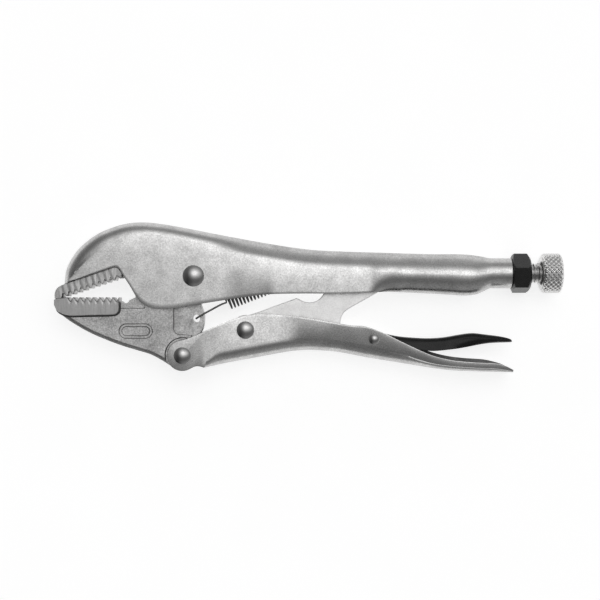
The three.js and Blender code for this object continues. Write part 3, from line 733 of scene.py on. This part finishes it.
# ---------- jaws ----------
def tooth_line(p, q, depth, up, per=10):
    """Rounded saw teeth from p to q, tips on the line, and how far each point lies below it."""
    p, q = np.array(p, float), np.array(q, float)
    length = np.linalg.norm(q - p)
    n = round(length / TOOTH_PITCH)
    d = (q - p) / length
    normal = np.array([-d[1], d[0]]) * up
    shape = [(0, 0.05), (0.08, 0), (0.16, 0.06), (0.56, 0.93), (0.64, 1), (0.72, 0.9), (1, 0.05)]
    out, drops = [], []
    for i in range(n * per + 1):
        f = (i / per) % 1
        drop = float(np.interp(f, *zip(*shape)))
        out.append(p + d * (i / (n * per) * length) + normal * depth * drop)
        drops.append(drop)
    return np.array(out), np.array(drops)


def abreast(tips, line, direction, margin):
    """The points of a line that stand square to each tooth point, eased into the line's ends."""
    d = np.array(direction, float)
    d /= np.linalg.norm(d)
    along = lengths(line)
    place = np.interp(tips @ d, np.maximum.accumulate(line @ d), along)
    run = lengths(tips)
    near_end = np.minimum(run, run[-1] - run)
    k = ease(0, margin, near_end)
    ends = np.where(run < run[-1] / 2, 0, along[-1])
    return walk(line, np.maximum.accumulate(ends * (1 - k) + place * k))


def pad_body(tips, root, drops, half, flute, reach, rows=14, rim=0.28):
    """A jaw pad from its line of teeth to the line where it meets the jaw, with as many points in
    both. The flutes of the teeth run on across its faces and fade out over the reach."""
    n = len(tips)
    span = np.linalg.norm(root - tips, axis=1)
    front = np.zeros((rows + 1, n, 3))
    for i in range(n):
        e = min(0.3, rim / max(span[i], 0.5))
        steps = [0, e] + list(np.linspace(e, 1 - e, rows - 1)[1:-1] ** 1.4) + [1 - e, 1]
        for j, v in enumerate(sorted(steps)):
            z = half - flute * drops[i] * (1 - ease(0.3, reach, span[i] * v))
            if j in (0, rows):
                z -= rim * 0.8
            front[j, i] = (*(tips[i] + (root[i] - tips[i]) * v), z)
    for i in (0, n - 1):
        front[:, i, 2] = half - rim * 0.8
    verts = front.reshape(-1, 3).tolist()
    back = front.copy()
    back[:, :, 2] *= -1
    verts += back.reshape(-1, 3).tolist()
    total = (rows + 1) * n

    faces = []
    for a in range(0, rows * n, n):
        for i in range(a, a + n - 1):
            quad = (i, i + 1, i + n + 1, i + n)
            faces += [quad, tuple(total + k for k in reversed(quad))]
    last = rows * n
    loop = [
        *range(n), *range(2 * n - 1, last + n, n), *range(last + n - 2, last - 1, -1),
        *range(last - n, 0, -n),
    ]
    for a, b in zip(loop, loop[1:] + loop[:1]):
        faces.append((a, total + a, total + b, b))
    return bm_of(verts, faces)


# fixed jaw: the toothed pad follows the sheet's lower edge just below it
grip, grip_drops = tooth_line((-64.6, -10.95), (-35.8, -1.4), TOOTH_DEPTH, 1)
upper_line = spline([
    (-67.6, -9.6), (-67.4, -7.9), (-66.4, -6.0), (-64.6, -4.75), (-61.8, -3.6), (-55, -1.25),
    (-45.3, 2.05), (-39.7, 3.95), (-38.3, 4.35), (-37.0, 4.05), (-35.75, 2.8), (-34.75, 1.0),
    (-34.9, -0.9),
], 12)
nose = respace(np.array([(-67.5, -10.9), (-66.9, -11.05), (-64.9, -11.0)]), 0.3)
grip = np.vstack([nose, grip])
grip_drops = np.concatenate([np.zeros(len(nose)), grip_drops])
fixed = pad_body(
    grip, abreast(grip, upper_line, (28.8, 9.55), 3.5), grip_drops, PAD_HALF, 0.1, 10.0
)
tongue = np.array([
    (-58.2, -5), (-58.2, -1), (-57.0, 3.2), (-54.2, 7.7), (-50.9, 11.2), (-44.8, 15.7),
    (-38.2, 18.4), (-32.4, 19.9), (-31, 15), (-31.8, 8), (-33.6, 3), (-37.4, 1), (-40, -2),
])
fixed = combine(fixed, add(plate(tongue, -JAW_HALF, JAW_HALF, soft_rows(0.4))))
piece(fixed, "fixed_jaw_insert", PAD, "upper_assembly", "fixed_jaw", angle=35)

# lower jaw
belly = smooth([
    (-67.6, -14), (-66.2, -17.2), (-62.6, -20.3), (-58.7, -23.0), (-51, -27.4), (-43, -30.9),
    (-35.3, -33.8), (-27.4, -36.2), (-21, -38.2), (-16, -40.8), (-11.5, -43.6),
], 0.8)
outline = [
    ring((-24.2, -8.8), 4.4, 200, 150, 8),
    ring(PIVOT_JAW, 12, 160, 20, 48),
    smooth([(11, 0), (8.5, -7), (4.2, -13)], 0.8)[1:],
    smooth([(3.2, -14), (4.6, -18), (4.9, -21.4), (4.2, -25.5), (1.9, -30), (0.9, -35)], 0.7),
    ring(PIVOT_HANDLE, 6.6, 10, -110, 26),
    belly[::-1],
    respace(np.array([(-67.8, -12.4), (-67.3, -11.5), (-61.4, -11.4)]), 1.2),
    respace(np.array([(-60, -13.2), (-38, -13.2), (-36.6, -12.6)]), 2.0),
    ring((-33.6, -10.9), 2.4, 215, 340, 12),
]
body = np.vstack(outline)
belly_from = sum(len(o) for o in outline[:5])
is_belly = np.zeros(len(body))
is_belly[belly_from : belly_from + len(belly)] = 1
for _ in range(4):
    is_belly = (np.roll(is_belly, 1) + is_belly + np.roll(is_belly, -1)) / 3
# the rim is rounded by RIM, and along the belly by a nearly straight draft of the given size
RIM, DRAFT_DEPTH, DRAFT_WIDTH, DRAFT_ROUND = 0.5, 1.15, 1.9, 0.25
rows = []
for i in range(5):
    f = i / 4
    a = f * math.pi / 2
    drop, inset = 1 - math.cos(a), 1 - math.sin(a)
    straight = 1 - DRAFT_ROUND
    draft_drop = DRAFT_ROUND * drop + straight * f
    draft_inset = DRAFT_ROUND * inset + straight * (1 - f)
    rows.append((
        (1 - is_belly) * RIM * drop + is_belly * DRAFT_DEPTH * draft_drop,
        (1 - is_belly) * RIM * inset + is_belly * DRAFT_WIDTH * draft_inset,
    ))
jaw = plate(body, -JAW_HALF, JAW_HALF, rows)


def one_side(outline, z0, z1, flare):
    """A cutting tool with slanting walls: the outline at z0, flared at z1."""
    line = np.asarray(outline, float)
    n = len(line)
    m = -inward(line) * np.sign(signed_area(line))
    verts = [(*p, z0) for p in line] + [(*(p + m[i] * flare), z1) for i, p in enumerate(line)]
    faces = [tuple(range(n)), tuple(n + i for i in reversed(range(n)))]
    faces += [(i, n + i, n + (i + 1) % n, (i + 1) % n) for i in range(n)]
    return bm_of(verts, faces)


# the tail is thinner than the jaw on both faces, and a gullet runs behind the teeth
PAST_FACE = JAW_HALF + 1.0
thin = np.vstack([
    [(-9.6, -12), (-9.6, -24.9)], ring((-7.0, -25.6), 2.6, 170, 255, 6),
    [(-0.9, -28.7), (-1.2, -30.3)],
    ring(PIVOT_HANDLE, 8.4, 62, 252, 40), [(-6, -50), (8, -50), (14, -30), (14, -12)],
])
cuts = [cut(one_side(thin, f * TAIL_HALF, f * PAST_FACE, 0.5)) for f in (1, -1)]
gullet = [(-35.9, -4), (-35.9, -15.55), (-24.2, -15.5), (-23.4, -4)]
for face in (1, -1):
    low, high = face * (JAW_HALF - 0.55), face * (JAW_HALF + 0.45)
    cuts += [cut(one_side(gullet, low, high, 0.9)), cut(one_side(thin, low, high, 0.85))]


def stadium(cx, cy, length, height, n=14):
    r = height / 2
    d = length / 2 - r
    return np.vstack([ring((cx - d, cy), r, 90, 270, n), ring((cx + d, cy), r, -90, 90, n)])


# the oval recess: a groove round a plateau
OVAL = (-28.3, -26.8)
groove_outer = stadium(*OVAL, 15.7, 6.6)
groove_inner = stadium(*OVAL, 14.0, 4.9)
cuts.append(cut(one_side(groove_outer, JAW_HALF - 0.9, JAW_HALF + 0.4, 0.7)))
plateau = plate(groove_inner, JAW_HALF - 1.6, JAW_HALF - 0.05, [(0, 0.5), (0.6, 0.1), (0.7, 0)])
jaw = combine(
    jaw, *cuts, add(plateau), hole(SPRING_HOLE, 1.9, 48), hole(PIVOT_JAW, 3.7),
    hole(PIVOT_HANDLE, 3.1),
)
piece(
    jaw, "lower_jaw_body", FORGED, "jaw", "lower_jaw", angle=32, weighted=True
)

# the toothed pad of the lower jaw, a machined face proud of the forging
tips, tip_drops = tooth_line((-61.9, -10.3), (-36.4, -10.3), TOOTH_DEPTH, -1)
nose = respace(np.array([(-67.9, -11.6), (-66.8, -10.9), (-64.6, -10.75), (-62.2, -10.5)]), 0.3)
tips = np.vstack([nose, tips])
tip_drops = np.concatenate([np.zeros(len(nose)), tip_drops])
lower_line = spline([
    (-67.9, -14.0), (-66.6, -16.6), (-63.6, -18.6), (-60.4, -19.3), (-50, -19.1), (-40.5, -18.9),
    (-38.2, -18.6), (-36.7, -17.2), (-36.4, -14.8),
], 12)
pad = pad_body(tips, abreast(tips, lower_line, (1, 0), 2.0), tip_drops, PAD_HALF, 0.14, 1.8)
root_line = spline([
    (-67.7, -14.4), (-66.4, -17.4), (-63.4, -19.4), (-60.2, -20.1), (-50, -19.9), (-40.2, -19.7),
    (-37.4, -19.2), (-35.7, -17.6), (-35.5, -14.6),
])
ROOT_HALF = 5.75  # between the forging's face and the pad's
# the band round the pad's foot is coloured nearly black as painted shade
pad_base = plate(
    np.vstack([[(-67.2, -12.4)], respace(root_line, 1.0), [(-35.6, -12.9)]]),
    -ROOT_HALF, ROOT_HALF, [(0, 1.0), (0.5, 0.0)],
)
piece(pad, "lower_jaw_pad", PAD_FINE, "jaw", "lower_jaw", angle=35)
piece(pad_base, "lower_jaw_pad_root", PAD_FOOT_SHADE, "jaw", "lower_jaw", angle=35)

# ---------- lower handle ----------
LOW_BACK = spline([
    (5, -44.6), (15.4, -42.5), (31, -39.6), (46.7, -36.8), (54.5, -36.2), (62.3, -36.4),
    (70.2, -37.2), (86, -40.1), (101.5, -42.6), (117, -45), (126, -46), (136, -46.4), (155, -46.8),
], 30)
LOW_EDGE = spline([
    (5, -26.8), (12.9, -23.3), (20, -20.6), (27.4, -18.9), (34.6, -18.5), (42, -18.9), (56, -20.6),
    (70.9, -23.3), (78.2, -24.4), (83, -24.6), (90.3, -26.8), (99.9, -31.5), (109.6, -36.1),
    (116, -38.7), (124, -40.7), (131, -41.6), (140, -42.2), (146, -42.45), (149.2, -42.95),
    (151.4, -43.7), (153.4, -44.7), (155, -45.6),
], 30)


def lower_stations():
    out = []
    width = [(6.3, HEAD_HALF), (14, LOWER_HALF), (150, LOWER_HALF), (155.5, LOWER_HALF - 1.0)]
    crown = [(12, 0.05), (42, 0.15), (56, 1.35), (84, 1.5), (102, 1.0), (130, 0.4)]
    power = [(44, 2.2), (56, 2.1), (72, 1.3), (84, 1.25), (98, 1.6)]
    xs = np.concatenate([
        np.arange(5, 14, 0.6), np.arange(14, 145, 1.0), np.arange(145, 155, 0.5), [155],
    ])
    for x in xs:
        low, top = at_x(LOW_BACK, x), at_x(LOW_EDGE, x)
        slope = slope_of(LOW_BACK, x, 0.6, (5.6, 154.4), 0.2, -0.02)
        m = np.array([-slope, 1.0]) / math.hypot(1, slope)
        if x < 6:
            m = np.array([0, 1.0])
        w = table(width, x)
        a = min(2.8 + 3.4 * float(ease(5, 14, x)), 0.72 * (top - low))
        q = np.array([x, top])
        out.append(
            dict(
                p=np.array([x, low]), m=m, w=w, a=a, r=min(a, 6.2),
                t=min(SHEET, 0.42 * (top - low)), q=q, under=q, roll=0,
                crown=table(crown, x), power=table(power, x),
                tilt=table([(7, 0), (24, 1.15), (40, 1.05), (54, 0)], x),
                lift=table([(98, 0), (110, 1.5), (140, 1.4), (150, 0.3)], x),
            )
        )
    return out


lower = folded_sheet(lower_stations(), front=False)
lug = np.vstack([
    respace(np.array([(6.6, -26.2), (5, -26.85), (0.5, -28.8), (-3, -30.2)]), 1.0),
    ring(PIVOT_HANDLE, 7.5, 95, 290, 56),
    smooth([(-1.2, -44.9), (0.3, -44.1), (1.9, -43.8), (3.4, -44), (5, -44.5)], 0.6),
    [(5.8, -43.9), (6.4, -41.2)],
])
lug_in, lug_out = HEAD_HALF - SHEET + 0.02, HEAD_HALF - 0.02
lugs = [
    plate(lug, low, high, soft_rows(0.35))
    for low, high in ((lug_in, lug_out), (-lug_out, -lug_in))
]
lower = combine(lower, *[add(lug_bm) for lug_bm in lugs])
lower_obj = piece(lower, "lower_handle_shell", NICKEL, "grip", "lower_handle")
shade_inside_fold(lower_obj, LOWER_HALF)

# ---------- toggle link ----------
link_line = np.vstack([
    ring(PIVOT_LINK, 7.2, 215, 325, 24),
    [(45, -29.6), (60, -27.6), (66, -28)],
    ring((68.2, -25.6), 3, 270, 355, 10),
    smooth([
        (71.3, -22.4), (71.6, -20.4), (72.4, -18.6), (73.8, -17), (76.2, -15.4), (81, -12.7),
        (88.7, -8.4), (94.5, -4.9), (98.4, -2.4),
    ], 1.2),
    ring((100.2, 1), 2.8, -60, 100, 20),
    smooth([(94, 3.2), (84, 1.6), (74, -1.6), (66.5, -4.4), (64.4, -5.5)], 1.5),
    smooth([
        (64, -6.2), (63.5, -7.8), (62.9, -9), (61.5, -10.8), (59.4, -12.3), (57, -12.9),
        (54.6, -12.75), (52.5, -12.1), (50.9, -11.2), (49.6, -10.85),
    ], 0.7),
    smooth([(46.7, -12), (39.3, -14.6), (33, -17), (28.6, -18.4)], 1.5),
    ring(PIVOT_LINK, 7.2, 80, 180, 22),
])
link = plate(link_line, -LINK_HALF, LINK_HALF, soft_rows(0.3))
link = combine(link, hole(PIVOT_LINK, 3.1, half=5))
piece(link, "toggle_link_plate", LINK, "link", "toggle_link", weighted=True)


# ---------- release lever ----------
def lever_stations():
    back = spline([
        (79.5, -26.4), (85, -26.1), (90.5, -27.3), (95.3, -28.6), (100.2, -29.5), (107, -30.1),
        (114.8, -30.4), (122, -29.9), (128.4, -28.8), (133, -28.1), (136.5, -27.9), (142, -28.5),
        (149, -29.4), (152.8, -30.2), (154.6, -30.9), (155, -31.3),
    ], 20)
    edge = spline([
        (79.5, -33), (84, -34.8), (90, -35.0), (96, -34.6), (104, -34.9), (110, -35.8),
        (116, -36.5), (124.5, -35.8), (129.3, -35.2), (134.2, -34.4), (139.1, -33.5), (144, -32.8),
        (149, -32.5), (152.8, -32.4), (154.5, -32.3), (155, -32.1),
    ], 20)
    out = []
    for x in np.concatenate([np.arange(79.5, 150, 1.0), np.arange(150, 155, 0.4), [155]]):
        top, low = at_x(back, x), at_x(edge, x)
        slope = slope_of(back, x, 0.5, (80, 154), 0, -0.3)
        m = np.array([slope, -1.0]) / math.hypot(1, slope)
        w = table([(146, LEVER_HALF), (153.5, LEVER_HALF - 0.9), (155.2, LEVER_HALF - 2.0)], x)
        a = min(2.6, 0.7 * (top - low))
        q = np.array([x, low])
        out.append(
            dict(
                p=np.array([x, top]), m=m, w=w, a=a, r=a, t=min(LEVER_SHEET, 0.4 * (top - low)),
                q=q, under=q, g=np.array([x, (top + low) / 2]), lip=1.5, crown=0.55, power=1.0,
                roll=float(ease(125, 140, x)),
            )
        )
    return out


lever = folded_sheet(lever_stations(), rim=0.22)
lever = combine(lever, hole(PIVOT_LEVER, 2.0, 24))
piece(lever, "release_lever_shell", BLACK_LEVER, "release", "release_lever")


# ---------- screw, knob and nut ----------
def thread():
    """The threaded shank, with a short pointed lead. It ends just short of the knob's bore."""
    depth, crest, flank, lead_r, lead, sides = 0.65, 0.2, 0.7, 2.9, 2.4, 48
    end = KNOB_START + KNOB_BORE_DEPTH - 0.3
    verts = []
    for x in list(np.arange(SCREW_START, end, THREAD_PITCH / 8)) + [end]:

        def radius(k):
            phase = (x / THREAD_PITCH - k / sides) % 1
            wave = min(1, max(0, (abs(phase * 2 - 1) - crest) / flank))
            most = lead_r + (SCREW_R - lead_r) * min(1, (x - SCREW_START) / lead)
            return min(SCREW_R - depth * wave, most)

        verts += screw_ring(x, radius, sides)
    return stacked(verts, sides)


piece(
    thread(), "adjusting_screw_thread", TURNED, "screw", "adjusting_screw", angle=60
)


def knob():
    """The knurled head: a shoulder, crossed diamond knurling, a flat end and a bore."""
    x0, x1 = KNOB_START, KNOB_END
    crest_r, depth, land = 9.8, 0.4, 0.85
    around, axial, per = 25, 4, 12  # diamonds each way, and steps in a diamond
    k0, k1 = x0 + 1.75, x1 - 0.15
    sides = around * per
    verts = []
    for x, r in (
        (x0, SCREW_BORE), (x0 + 0.1, 5.7), (x0 + 0.35, 6.5), (x0 + 0.7, 7.4), (x0 + 1.0, 8.05),
        (x0 + 1.2, 8.3), (x0 + 1.5, 8.0),
    ):
        verts += screw_ring(x, r, sides)
    for i in range(axial * per + 1):
        x = k0 + (k1 - k0) * i / (axial * per)
        end = min(1, (k1 - x) / 1.5)
        begin = min(1, (x - k0) / 0.9)
        crest = crest_r - 1.5 * (1 - math.sqrt(max(0, 1 - (1 - end) ** 2)))
        crest -= 0.8 * (1 - begin) ** 2

        def radius(k):
            u1, u2 = (k / per + i / per) % 1, (k / per - i / per) % 1
            h = min(1 - abs(2 * u1 - 1), 1 - abs(2 * u2 - 1))
            return crest - depth * (1 - min(h / land, 1.0))

        verts += screw_ring(x, radius, sides)
    for x, r in ((x1, 7.9), (x1, 7.4), (x1 - 0.25, 7.1), (x1 - 0.25, 0.6)):
        verts += screw_ring(x, r, sides)
    last = len(verts) - sides
    bore = len(verts)
    verts += screw_ring(x0 + KNOB_BORE_DEPTH, SCREW_BORE, sides)
    faces = [f for a in range(0, last, sides) for f in band(a, a + sides, sides)]
    faces += band(0, bore, sides)
    faces += [tuple(bore + k for k in range(sides)), tuple(last + k for k in range(sides))]
    return bm_of(verts, faces)


piece(knob(), "adjusting_knob_head", KNURL, "knob", "adjusting_knob", angle=25)


def nut():
    """A hexagon with rounded corners. Both faces are cones where they meet the corners."""
    x0, x1 = NUT_START, NUT_END
    front_r, front_slope, rear_r, rear_slope = 8.15, 1.9, 7.7, 1.35
    corner_round, bore_chamfer = 0.5, 0.5
    corner = (NUT_FLATS / 2) / math.cos(math.pi / 6)

    def rounded(i, degrees):
        """A point of the rounded corner i, so many degrees from its middle."""
        mid = math.radians(60 * i)
        centre = np.array([math.cos(mid), math.sin(mid)])
        centre = centre * (corner - corner_round / math.cos(math.pi / 6))
        a = mid + math.radians(degrees)
        return centre + corner_round * np.array([math.cos(a), math.sin(a)])

    points = []
    for i in range(6):
        points += [rounded(i, d) for d in (-30, -15, 0, 15, 30)]
        a, b = points[-1], rounded(i + 1, -30)
        points += [a + (b - a) * u for u in np.linspace(0, 1, 10)[1:-1]]
    points = np.array(points)
    n = len(points)
    outer = np.linalg.norm(points, axis=1)
    turns = [math.atan2(y, x) + math.radians(90 - NUT_TURN) for x, y in points]
    one = np.ones(n)
    rings = [
        (x0 + bore_chamfer, SCREW_BORE), (x0, SCREW_BORE + bore_chamfer),
        (x0, np.minimum(outer, front_r)),
        (x0 + np.maximum(0, (outer - front_r) / front_slope), outer),
        (x1 - np.maximum(0, (outer - rear_r) / rear_slope), outer),
        (x1, np.minimum(outer, rear_r)),
        (x1, SCREW_BORE + bore_chamfer), (x1 - bore_chamfer, SCREW_BORE),
    ]
    verts, faces = [], []
    for x, r in rings:
        for xi, ri, a in zip(x * one, r * one, turns):
            verts.append((xi, SCREW_Y + ri * math.cos(a), ri * math.sin(a)))
    for j in range(len(rings)):
        faces += band(j * n, (j + 1) % len(rings) * n, n)
    return bm_of(verts, faces)


piece(nut(), "lock_nut_hex", BLACK, "nut", "lock_nut", angle=28, weighted=True)


# ---------- return spring ----------
def spring():
    """A hooked coil: a straight lead from the jaw's hole, the turns, and a hook on the tab."""
    wire, mean, turns, pitch = 0.45, 3.5, 16.5, 1.75
    start = np.array([15.8, -12.9, 0])
    tilt = math.radians(21)
    d = np.array([math.cos(tilt), math.sin(tilt), 0])
    side = np.array([-math.sin(tilt), math.cos(tilt), 0])
    up = np.array([0, 0, 1.0])
    hx, hy = SPRING_HOLE
    path = [
        (hx, hy, 1.6), (hx, hy, 3.4), (hx + 0.15, hy + 0.1, 4.3), (hx + 0.6, hy + 0.35, 4.75),
        (hx + 1.4, hy + 0.85, 4.85), (hx + 4, hy + 2.4, 4.8), (8.5, -16.4, 4.7), (11.6, -14.7, 4.4),
        (13.8, -13.6, 3.9),
    ]
    per = 24
    for i in range(int(turns * per) + 1):
        a = i / per * 2 * math.pi
        round_axis = up * mean * math.cos(a) + side * mean * math.sin(a)
        path.append(start + d * (i / per * pitch) + round_axis)
    end = start + d * turns * pitch
    ax, ay = SPRING_ANCHOR
    path += [
        end + d * 1.2 - up * mean * 0.97, end + d * 2.4 - up * mean * 0.85, (50.4, 0.3, -2.3),
        (ax - 0.9, ay, -2.0), (ax - 0.2, ay, -1.6), (ax, ay, -0.9), (ax, ay, 1.6),
    ]
    path = np.array([np.array(p, float) for p in path])
    sides = 8
    verts = []
    normal = np.array([1.0, 0, 0])
    for i, p in enumerate(path):
        tan = path[min(len(path) - 1, i + 1)] - path[max(0, i - 1)]
        tan /= np.linalg.norm(tan)
        normal = normal - tan * (normal @ tan)
        normal /= np.linalg.norm(normal)
        bi = np.cross(tan, normal)
        for k in range(sides):
            a = 2 * math.pi * k / sides
            verts.append(tuple(p + wire * (normal * math.cos(a) + bi * math.sin(a))))
    return stacked(verts, sides)


spring_obj = piece(
    spring(), "return_spring_coil", WIRE, None, "return_spring", angle=80
)
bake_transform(spring_obj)


# ---------- rivets ----------
def rivet(c, shank, head, top, face):
    """Low domes on both sides, with a small rounded foot against the sheet."""
    z = face - 0.03
    h = top - z
    foot = 0.28 * h
    rise = h - foot
    dome = [(z, shank), (z, head - 0.12), (z + 0.12, head)]
    steps = 10
    ball = (head * head + rise * rise) / (2 * rise)
    for i in range(steps + 1):
        r = head * math.cos(i / steps * math.pi / 2)
        zz = z + foot + math.sqrt(ball * ball - r * r) - (ball - rise)
        dome.append((zz, max(r, 0)))
    dome[-1] = (top, 0.0)
    lower = [(-a, b) for a, b in reversed(dome)]
    return turned(lower + dome, c)


for name, c, dims, face, body, node in (
    ("jaw_rivet_dome", PIVOT_JAW, (3.6, 5.15, 10.4), HEAD_HALF, "upper_assembly",
     "jaw_pivot_rivet"),
    ("handle_rivet_dome", PIVOT_HANDLE, (3.0, 4.1, 10.0), HEAD_HALF, "grip", "handle_pivot_rivet"),
    ("link_rivet_dome", PIVOT_LINK, (3.0, 4.2, 9.5), LOWER_HALF, "grip", "link_rivet"),
    ("lever_pin_dome", PIVOT_LEVER, (1.9, 2.7, 8.7), LOWER_HALF - 0.45, "grip", "lever_pin"),
):
    piece(rivet(c, *dims, face), name, POLISHED, body, node, angle=50)

# ---------- floor, light and camera ----------
FLOOR_HALF, FLOOR_DROP, CELLS = 3.0, 0.0002, 24
floor_mesh = bpy.data.meshes.new("floor")
line = [-FLOOR_HALF + 2 * FLOOR_HALF * i / CELLS for i in range(CELLS + 1)]
row = CELLS + 1
floor_mesh.from_pydata(
    [(x, y, -FLOOR_DROP) for y in line for x in line],
    [],
    [
        (j * row + i, j * row + i + 1, (j + 1) * row + i + 1, (j + 1) * row + i)
        for j in range(CELLS) for i in range(CELLS)
    ],
)
floor = bpy.data.objects.new("floor", floor_mesh)
bpy.context.scene.collection.objects.link(floor)
paper, pn, paper_shader, paper_space = new_material(
    "pale_paper",
    **{
        "Roughness": 0.9, "Specular IOR Level": 0.1,
        "Emission Color": (1, 1, 1, 1), "Emission Strength": 0.75,
    },
)
pn.link(
    pn.mix(pn.noise(paper_space, 40.0), grey(0.50), grey(0.53)), paper_shader.inputs["Base Color"]
)
floor_mesh.materials.append(paper)

# A softbox overhead, dimmer towards the horizon. The camera itself sees a plain pale backdrop.
LAMP_LEAN = math.radians(17)  # from straight up towards +Y
LAMP_STRENGTH, BACKDROP = 1.62, 0.97
# brightness by the angle from the lamp's axis, in degrees
STOPS = [
    (0, 1.0), (9, 1.0), (17, 0.62), (24, 0.44), (32, 0.26), (42, 0.15), (56, 0.17), (74, 0.3),
    (90, 0.42), (110, 0.42), (180, 0.42),
]
world = bpy.data.worlds.new("studio")
bpy.context.scene.world = world
world.use_nodes = True
wt = world.node_tree
wt.nodes.clear()
w = Nodes(wt)
direction = w.add("ShaderNodeTexCoord").outputs["Generated"]
split = w.add("ShaderNodeSeparateXYZ", inputs={"Vector": direction})
x, y, z = (split.outputs[k] for k in "XYZ")
# the lamp is longer towards the knob: distances that way count for less
across = w.math(
    "SUBTRACT", w.math("MULTIPLY", x, 0.775), w.math("MULTIPLY", w.math("ABSOLUTE", x), 0.225)
)
drawn_in = w.add("ShaderNodeCombineXYZ", inputs={0: across, 1: y, 2: z})
unit = w.add("ShaderNodeVectorMath", operation="NORMALIZE", inputs={0: drawn_in.outputs[0]})
dot = w.add(
    "ShaderNodeVectorMath",
    operation="DOT_PRODUCT",
    inputs={0: unit.outputs["Vector"], 1: (0, math.sin(LAMP_LEAN), math.cos(LAMP_LEAN))},
)
angle = w.math("DIVIDE", w.math("ARCCOSINE", dot.outputs["Value"]), math.pi)
ramp = w.add("ShaderNodeValToRGB", inputs={"Fac": angle})
ramp.color_ramp.interpolation = "EASE"
ramp.color_ramp.elements[0].position = 0
ramp.color_ramp.elements[1].position = 1
for deg, _ in STOPS[1:-1]:
    ramp.color_ramp.elements.new(deg / 180)
for e, (_, v) in zip(ramp.color_ramp.elements, STOPS):
    e.color = (v, v, v, 1)
# brighter towards +Y, darker towards the nose
shade = w.math(
    "SUBTRACT",
    w.remap(y, -1, 1, 0.5, 1.5),
    w.math("MULTIPLY", w.remap(x, 0.0, -0.6), 0.6),
)
level = w.math("MULTIPLY", ramp.outputs["Color"], shade)
bright = w.math("MULTIPLY", level, LAMP_STRENGTH)
back = w.add("ShaderNodeBackground", inputs={"Color": (1, 1, 1, 1), "Strength": bright})
plain = w.add("ShaderNodeBackground", inputs={"Color": (1, 1, 1, 1), "Strength": BACKDROP})
seen = w.add("ShaderNodeLightPath").outputs["Is Camera Ray"]
mixed = w.add("ShaderNodeMixShader", inputs={0: seen, 1: back.outputs[0], 2: plain.outputs[0]})
out = w.add("ShaderNodeOutputWorld")
w.link(mixed.outputs[0], out.inputs["Surface"])

# the camera looks straight down at the flank
camera_data = bpy.data.cameras.new("camera")
camera_data.sensor_width = 36
camera_data.lens = 78.4
camera = bpy.data.objects.new("camera", camera_data)
camera.location = TO_FRAME @ Vector((51.56, -11.68, 640))
bpy.context.scene.collection.objects.link(camera)
bpy.context.scene.camera = camera
bpy.context.scene.view_settings.view_transform = "Standard"
